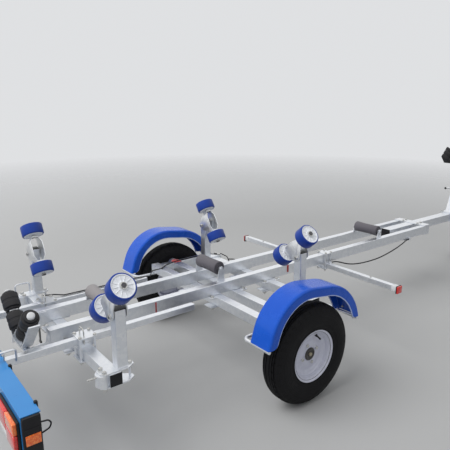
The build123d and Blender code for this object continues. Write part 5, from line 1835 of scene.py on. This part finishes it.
@dataclass
class Wiring:
    """Leads that are held to the frame all the way along what carries them."""

    radius: float = 3.2
    bend: float = 16.0
    routes: dict[str, tuple[Point, ...]] = field(default_factory=lambda: {
        "left_arm_lead": (
            (-935.0, 290.0, 482.0), (-885.0, 262.0, 484.0), (-845.0, 240.0, 479.0),
            (-700.0, 236.0, 479.0), (-420.0, 234.0, 479.0), (-360.0, 236.0, 470.0),
            (-318.0, 300.0, 450.0), (-262.0, 388.0, 436.0), (-190.0, 396.0, 434.0),
        ),
        "side_lead": (
            (-190.0, 396.0, 434.0), (-140.0, 430.0, 434.0), (-40.0, 462.0, 434.0),
            (90.0, 464.0, 434.0), (196.0, 452.0, 434.0), (262.0, 392.0, 440.0),
        ),
        "cross_tube_loop": (
            (262.0, 392.0, 440.0), (268.0, 340.0, 434.0), (238.0, 284.0, 432.0),
            (212.0, 246.0, 434.0), (236.0, 216.0, 438.0), (262.0, 250.0, 440.0),
            (236.0, 290.0, 436.0),
        ),
    })

    def build(self) -> None:
        """Lay each lead."""
        for name, route in self.routes.items():
            lead = Piece(name)
            lead.add(BLACK_RUBBER, bent_bar(route, self.radius, self.bend, 10))
            lead.build()


@dataclass
class RedTags:
    """Red tape round the far side member, and thin red sheets of the same finish on the near rail's
    side face, each as x, y, z and edge.
    """

    wraps: tuple[tuple[Pair, Pair, Pair, float], ...] = (
        ((-540.0, -533.0), (-131.4, -129.6), (426.0, 484.0), 0.6),
        ((-62.0, -10.0), (448.4, 491.6), (388.6, 431.6), 3.0),
        # Thin red sheet on the near rail's side face, given the tape's finish
        ((346.0, 356.0), (-133.5, -129.6), (444.0, 486.0), 1.0),
    )

    def build(self) -> None:
        """Wrap each tag round what it marks."""
        tags = Piece("red_tags")
        for x, y, z, edge in self.wraps:
            tags.box(RED_TAPE, x, y, z, edge)
        tags.build()


# Front


@dataclass
class WinchGear:
    """Ratchet wheel, pawl, pin ends and grip of the winch."""

    lean: float = 19.0
    crank: float = 150.0
    teeth: int = 18
    tooth_tip: float = 33.0
    tooth_root: float = 29.0

    def build(self) -> None:
        """Dress the drum and the frame."""
        axis = joint_place("winch_drum").translation / MM - Vector((AXLE_X / MM, 0.0, 0.0))
        self.dress_drum(axis)
        self.bolt_frame(axis)

    def dress_drum(self, axis: Vector) -> None:
        """Ratchet wheel, nuts and grip, which turn with the drum.

        Args:
            axis: Middle of the drum's axle.
        """
        drum = Piece("winch_drum_gear", "winch_drum")
        outline = []
        for number in range(2 * self.teeth):
            radius = self.tooth_tip if number % 2 else self.tooth_root
            turn = pi * number / self.teeth
            outline.append((radius * cos(turn), radius * sin(turn)))
        drum.add(ZINC, plate(outline, 4.0, 0.4), aim(axis + Vector((0.0, 29.0, 0.0)), (0, 1, 0)))
        drum.add(FASTENER, hexagon(22.0, 8.0), aim(axis + Vector((0.0, 54.0, 0.0)), (0, 1, 0)),
                 aim(axis + Vector((0.0, -72.0, 0.0)), (0, -1, 0)))
        sleeve = [(0.0, 6.4), (0.0, 12.0), (3.0, 14.0), (20.0, 14.4), (43.0, 13.4), (66.0, 14.4),
                  (83.0, 14.0), (86.0, 12.0), (86.0, 6.4)]
        grip = axis + Vector((0.0, -80.0, -self.crank))
        drum.add(BLACK_PLASTIC, ring_of(sleeve, 32), aim(grip, (0, -1, 0)))
        drum.build()

    def bolt_frame(self, axis: Vector) -> None:
        """Bolts of the winch's frame and its pawl.

        Args:
            axis: Middle of the drum's axle.
        """
        side = Piece("winch_frame_bolts")
        lean = radians(self.lean)
        up = Vector((sin(lean), 0.0, cos(lean)))
        along = Vector((cos(lean), 0.0, -sin(lean)))
        for dx, dy in corners(44.0, 22.0):
            side.bolt(axis - up * 58.0 + along * dx + Vector((0.0, dy, 0.0)), up, 8.0)
        pawl = axis - along * 44.0 - up * 14.0
        side.add(ZINC, rod(5.0, 96.0, 16, 0.6), aim(pawl + Vector((0, -48.0, 0)), (0, 1, 0)))
        side.add(ZINC, block((0.0, -4.0, -4.0), (40.0, 4.0, 4.0), 1.2),
                 aim(pawl + Vector((0.0, 34.0, 0.0)), (0, 1, 0)))
        side.build()


@dataclass
class BowStopPad:
    """Rubber V block for the bow, ribbed on its faces, with its fixing bolts."""

    face: Point = (2349.0, 0.0, 949.0)
    tilt: float = 45.0
    deep: float = 80.0
    notch: float = 50.0
    half: float = 50.0
    high: float = 105.0
    gap: float = 7.0

    def build(self) -> None:
        """Cut the block in its own axes, x into the plate and z up the block, and bolt it on."""
        turn = Matrix.Rotation(radians(self.tilt), 4, "Y")
        pad = Piece("bow_stop_block", place=IN_PLACE @ Matrix.Translation(self.face) @ turn)
        side = [(0.0, -self.half), (-self.deep, -self.half), (-self.deep, -self.half + 10.0)]
        outline = [*side, (self.notch - self.deep, 0.0), *[(x, -y) for x, y in reversed(side)]]
        low = -self.high / 2
        band = (self.high - 2 * self.gap) / 3
        for number in range(3):
            pad.add(BLACK_RUBBER, plate(outline, band, 3.0, 4.0),
                    Matrix.Translation((0, 0, low + number * (band + self.gap))))
        core = [(x + (4.0 if x < 0.0 else -2.0), y * 0.94) for x, y in outline]
        pad.add(BLACK_RUBBER, plate(core, self.high - 8.0, 1.0),
                Matrix.Translation((0, 0, low + 4.0)))
        for dy, dz in corners(26.0, 26.0):
            pad.bolt((6.0, dy, dz), (1, 0, 0), 8.0)
        pad.build("bow_stop")


@dataclass
class DrawbarBolts:
    """Bolts of the drawbar's plates and the winch post's foot, and the coupling's fittings."""

    plates: tuple[Point, ...] = ((1575.0, 452.0, 28.0), (1835.0, 496.0, 72.0))
    foot: Pair = (2370.0, 2476.0)
    neck: Pair = (2806.0, 2834.0)
    ball: Point = (2955.0, 0.0, 437.0)

    def build(self) -> None:
        """Bolt the plates, each as x, top and grip, then the foot and the coupling."""
        bolts = Piece("drawbar_clamp_bolts")
        for x, top, grip in self.plates:
            for side in SIDES:
                for dx in (-20.0, 20.0):
                    bolts.bolt((x + dx, side * 62.5, top), (0, 0, 1), 10.0, grip)
        for x in self.foot:
            for side in SIDES:
                bolts.bolt((x, side * 46.0, 498.0), (0, 0, 1), 12.0, 76.0)
        bolts.build()
        self.dress_coupling()

    def dress_coupling(self) -> None:
        """Bolts through the coupling's neck, its black grip and the socket's collar."""
        coupling = Piece("coupling_bolts")
        for x in self.neck:
            coupling.bolt((x, 40.0, 464.0), (0, 1, 0), 12.0, 80.0)
        coupling.box(BLACK_PLASTIC, (2798.0, 2842.0), (-17.5, 17.5), (526.0, 541.0), 4.0, 3)
        collar = [(0.0, 27.0), (0.0, 33.0), (5.0, 33.0), (7.0, 31.0), (7.0, 27.0)]
        coupling.add(ZINC, ring_of(collar, 40), aim(self.ball, (0, 0, 1)))
        coupling.build()


@dataclass
class JockeyDetails:
    """Wheel, grip and clamp handle of the jockey leg."""

    x: float = 2750.0
    y: float = 85.0
    tube_top: float = 636.0
    bar_turn: float = 155.0

    def build(self) -> None:
        """Make the wheel and the grip and dress the clamp."""
        self.mould_wheel()
        self.dress_crank()
        self.dress_clamp()

    def mould_wheel(self) -> None:
        """Turn the tyre and its disc."""
        half = [(25.0, 63.0), (25.0, 88.0), (23.0, 94.0), (18.0, 98.6), (12.0, 100.0), (0.0, 100.0)]
        disc = [(24.0, 64.0), (24.0, 58.0), (16.0, 56.0), (12.0, 52.0), (12.0, 24.0), (16.0, 21.0),
                (24.5, 19.0), (24.5, 7.7)]
        wheel = Piece("jockey_wheel_moulding", "jockey_wheel", joint_place("jockey_wheel"))
        wheel.add(BLACK_RUBBER, ring_of([*mirrored(half), (-20.0, 60.0), (20.0, 60.0)], 72))
        wheel.add(RIM_SILVER, ring_of(mirrored(disc), 56))
        wheel.build("jockey_wheel")

    def dress_crank(self) -> None:
        """Grip, collar and tip of the crank."""
        crank = Piece("jockey_crank_grip", "jockey_crank")
        sleeve = [(0.0, 5.2), (0.0, 11.4), (3.0, 13.0), (40.0, 12.2), (77.0, 13.0), (80.0, 11.4),
                  (80.0, 5.2)]
        collar = [(0.0, 14.2), (0.0, 26.6), (5.0, 26.6), (8.4, 24.0), (9.6, 16.0), (9.6, 14.2)]
        tip = [(0.0, 8.1), (0.0, 9.6), (6.0, 9.6), (8.0, 8.0), (8.6, 4.0), (8.6, 0.0), (6.4, 0.0),
               (6.4, 8.1)]
        turn = radians(self.bar_turn)
        way, up = Vector((cos(turn), sin(turn), 0.0)), Vector((0.0, 0.0, 1.0))
        head = Vector((self.x, self.y, self.tube_top))
        crank.add(BLACK_PLASTIC, ring_of(sleeve, 32), aim(head - way * 100.0 + up * 32.0, up))
        crank.add(BLACK_PLASTIC, ring_of(collar, 40), aim(head, up))
        crank.add(BLACK_PLASTIC, turned(tip, 28), aim(head + way * 173.8 + up * 18.0, way))
        crank.build()

    def dress_clamp(self) -> None:
        """Bolts of the clamp and the knobs of its handle."""
        clamp = Piece("jockey_clamp_bolts")
        for dx, dz in corners(25.0, 20.0):
            clamp.bolt((self.x + dx, 41.0, 460.0 + dz), (0, 1, 0), 8.0)
        knob = [(0.0, 0.0), (0.0, 5.0), (2.0, 8.0), (8.0, 9.0), (14.0, 8.0), (16.0, 4.0),
                (16.0, 0.0)]
        for end in (-1, 1):
            clamp.add(BLACK_PLASTIC, turned(knob, 24),
                      aim((self.x + end * 26.0, self.y + 68.0, 460.0), (end, 0, 0)))
        clamp.build()


def fit_rollers() -> None:
    """Make the rockers with their rollers, the keel rollers and the cradle's rollers."""
    units = (("rear", REAR_POST, 58.0, 40.0), ("front", FRONT_POST, 56.0, 41.0))
    for end, post, left_tilt, right_tilt in units:
        for hand, side, tilt in (("left", 1, left_tilt), ("right", -1, right_tilt)):
            name = f"{end}_{hand}"
            Rocker(name, tilt, side, post).build()
            BlueRoller(f"roller_{name}_outer", has_black_strip=name == "rear_right").build()
            BlueRoller(f"roller_{name}_inner").build()
    KeelRoller("front_keel_roller", 92.0, 35.0).build()
    KeelRoller("middle_keel_roller", 86.0, 36.0).build()
    KeelRoller("rear_keel_roller", 86.0, 35.0, TAUPE_RUBBER).build()
    for hand in ("left", "right"):
        for place in ("lower", "upper"):
            CradleRoller(f"cradle_roller_{hand}_{place}").build()


def main() -> None:
    """Build the trailer's looks in order: camera, cord, studio, frame, then the pieces."""
    logging.basicConfig(level=logging.INFO, format="%(message)s")
    for assembly in (PhotoCamera(), FrontCable(), Studio(), BareFrame()):
        assembly.build()
    for side in SIDES:
        RoadWheel(side).build()
        MudguardLipAndBolts(side).build()
    fit_rollers()
    for assembly in (CradleHardware(), PostClamps(), RailClamps(), ArmClamps(), TubeEnds(),
                     RearLights(), MarkerEnds(), Wiring(), RedTags(), WinchGear(), BowStopPad(),
                     DrawbarBolts(), JockeyDetails()):
        assembly.build()


if __name__ == "__main__":
    main()
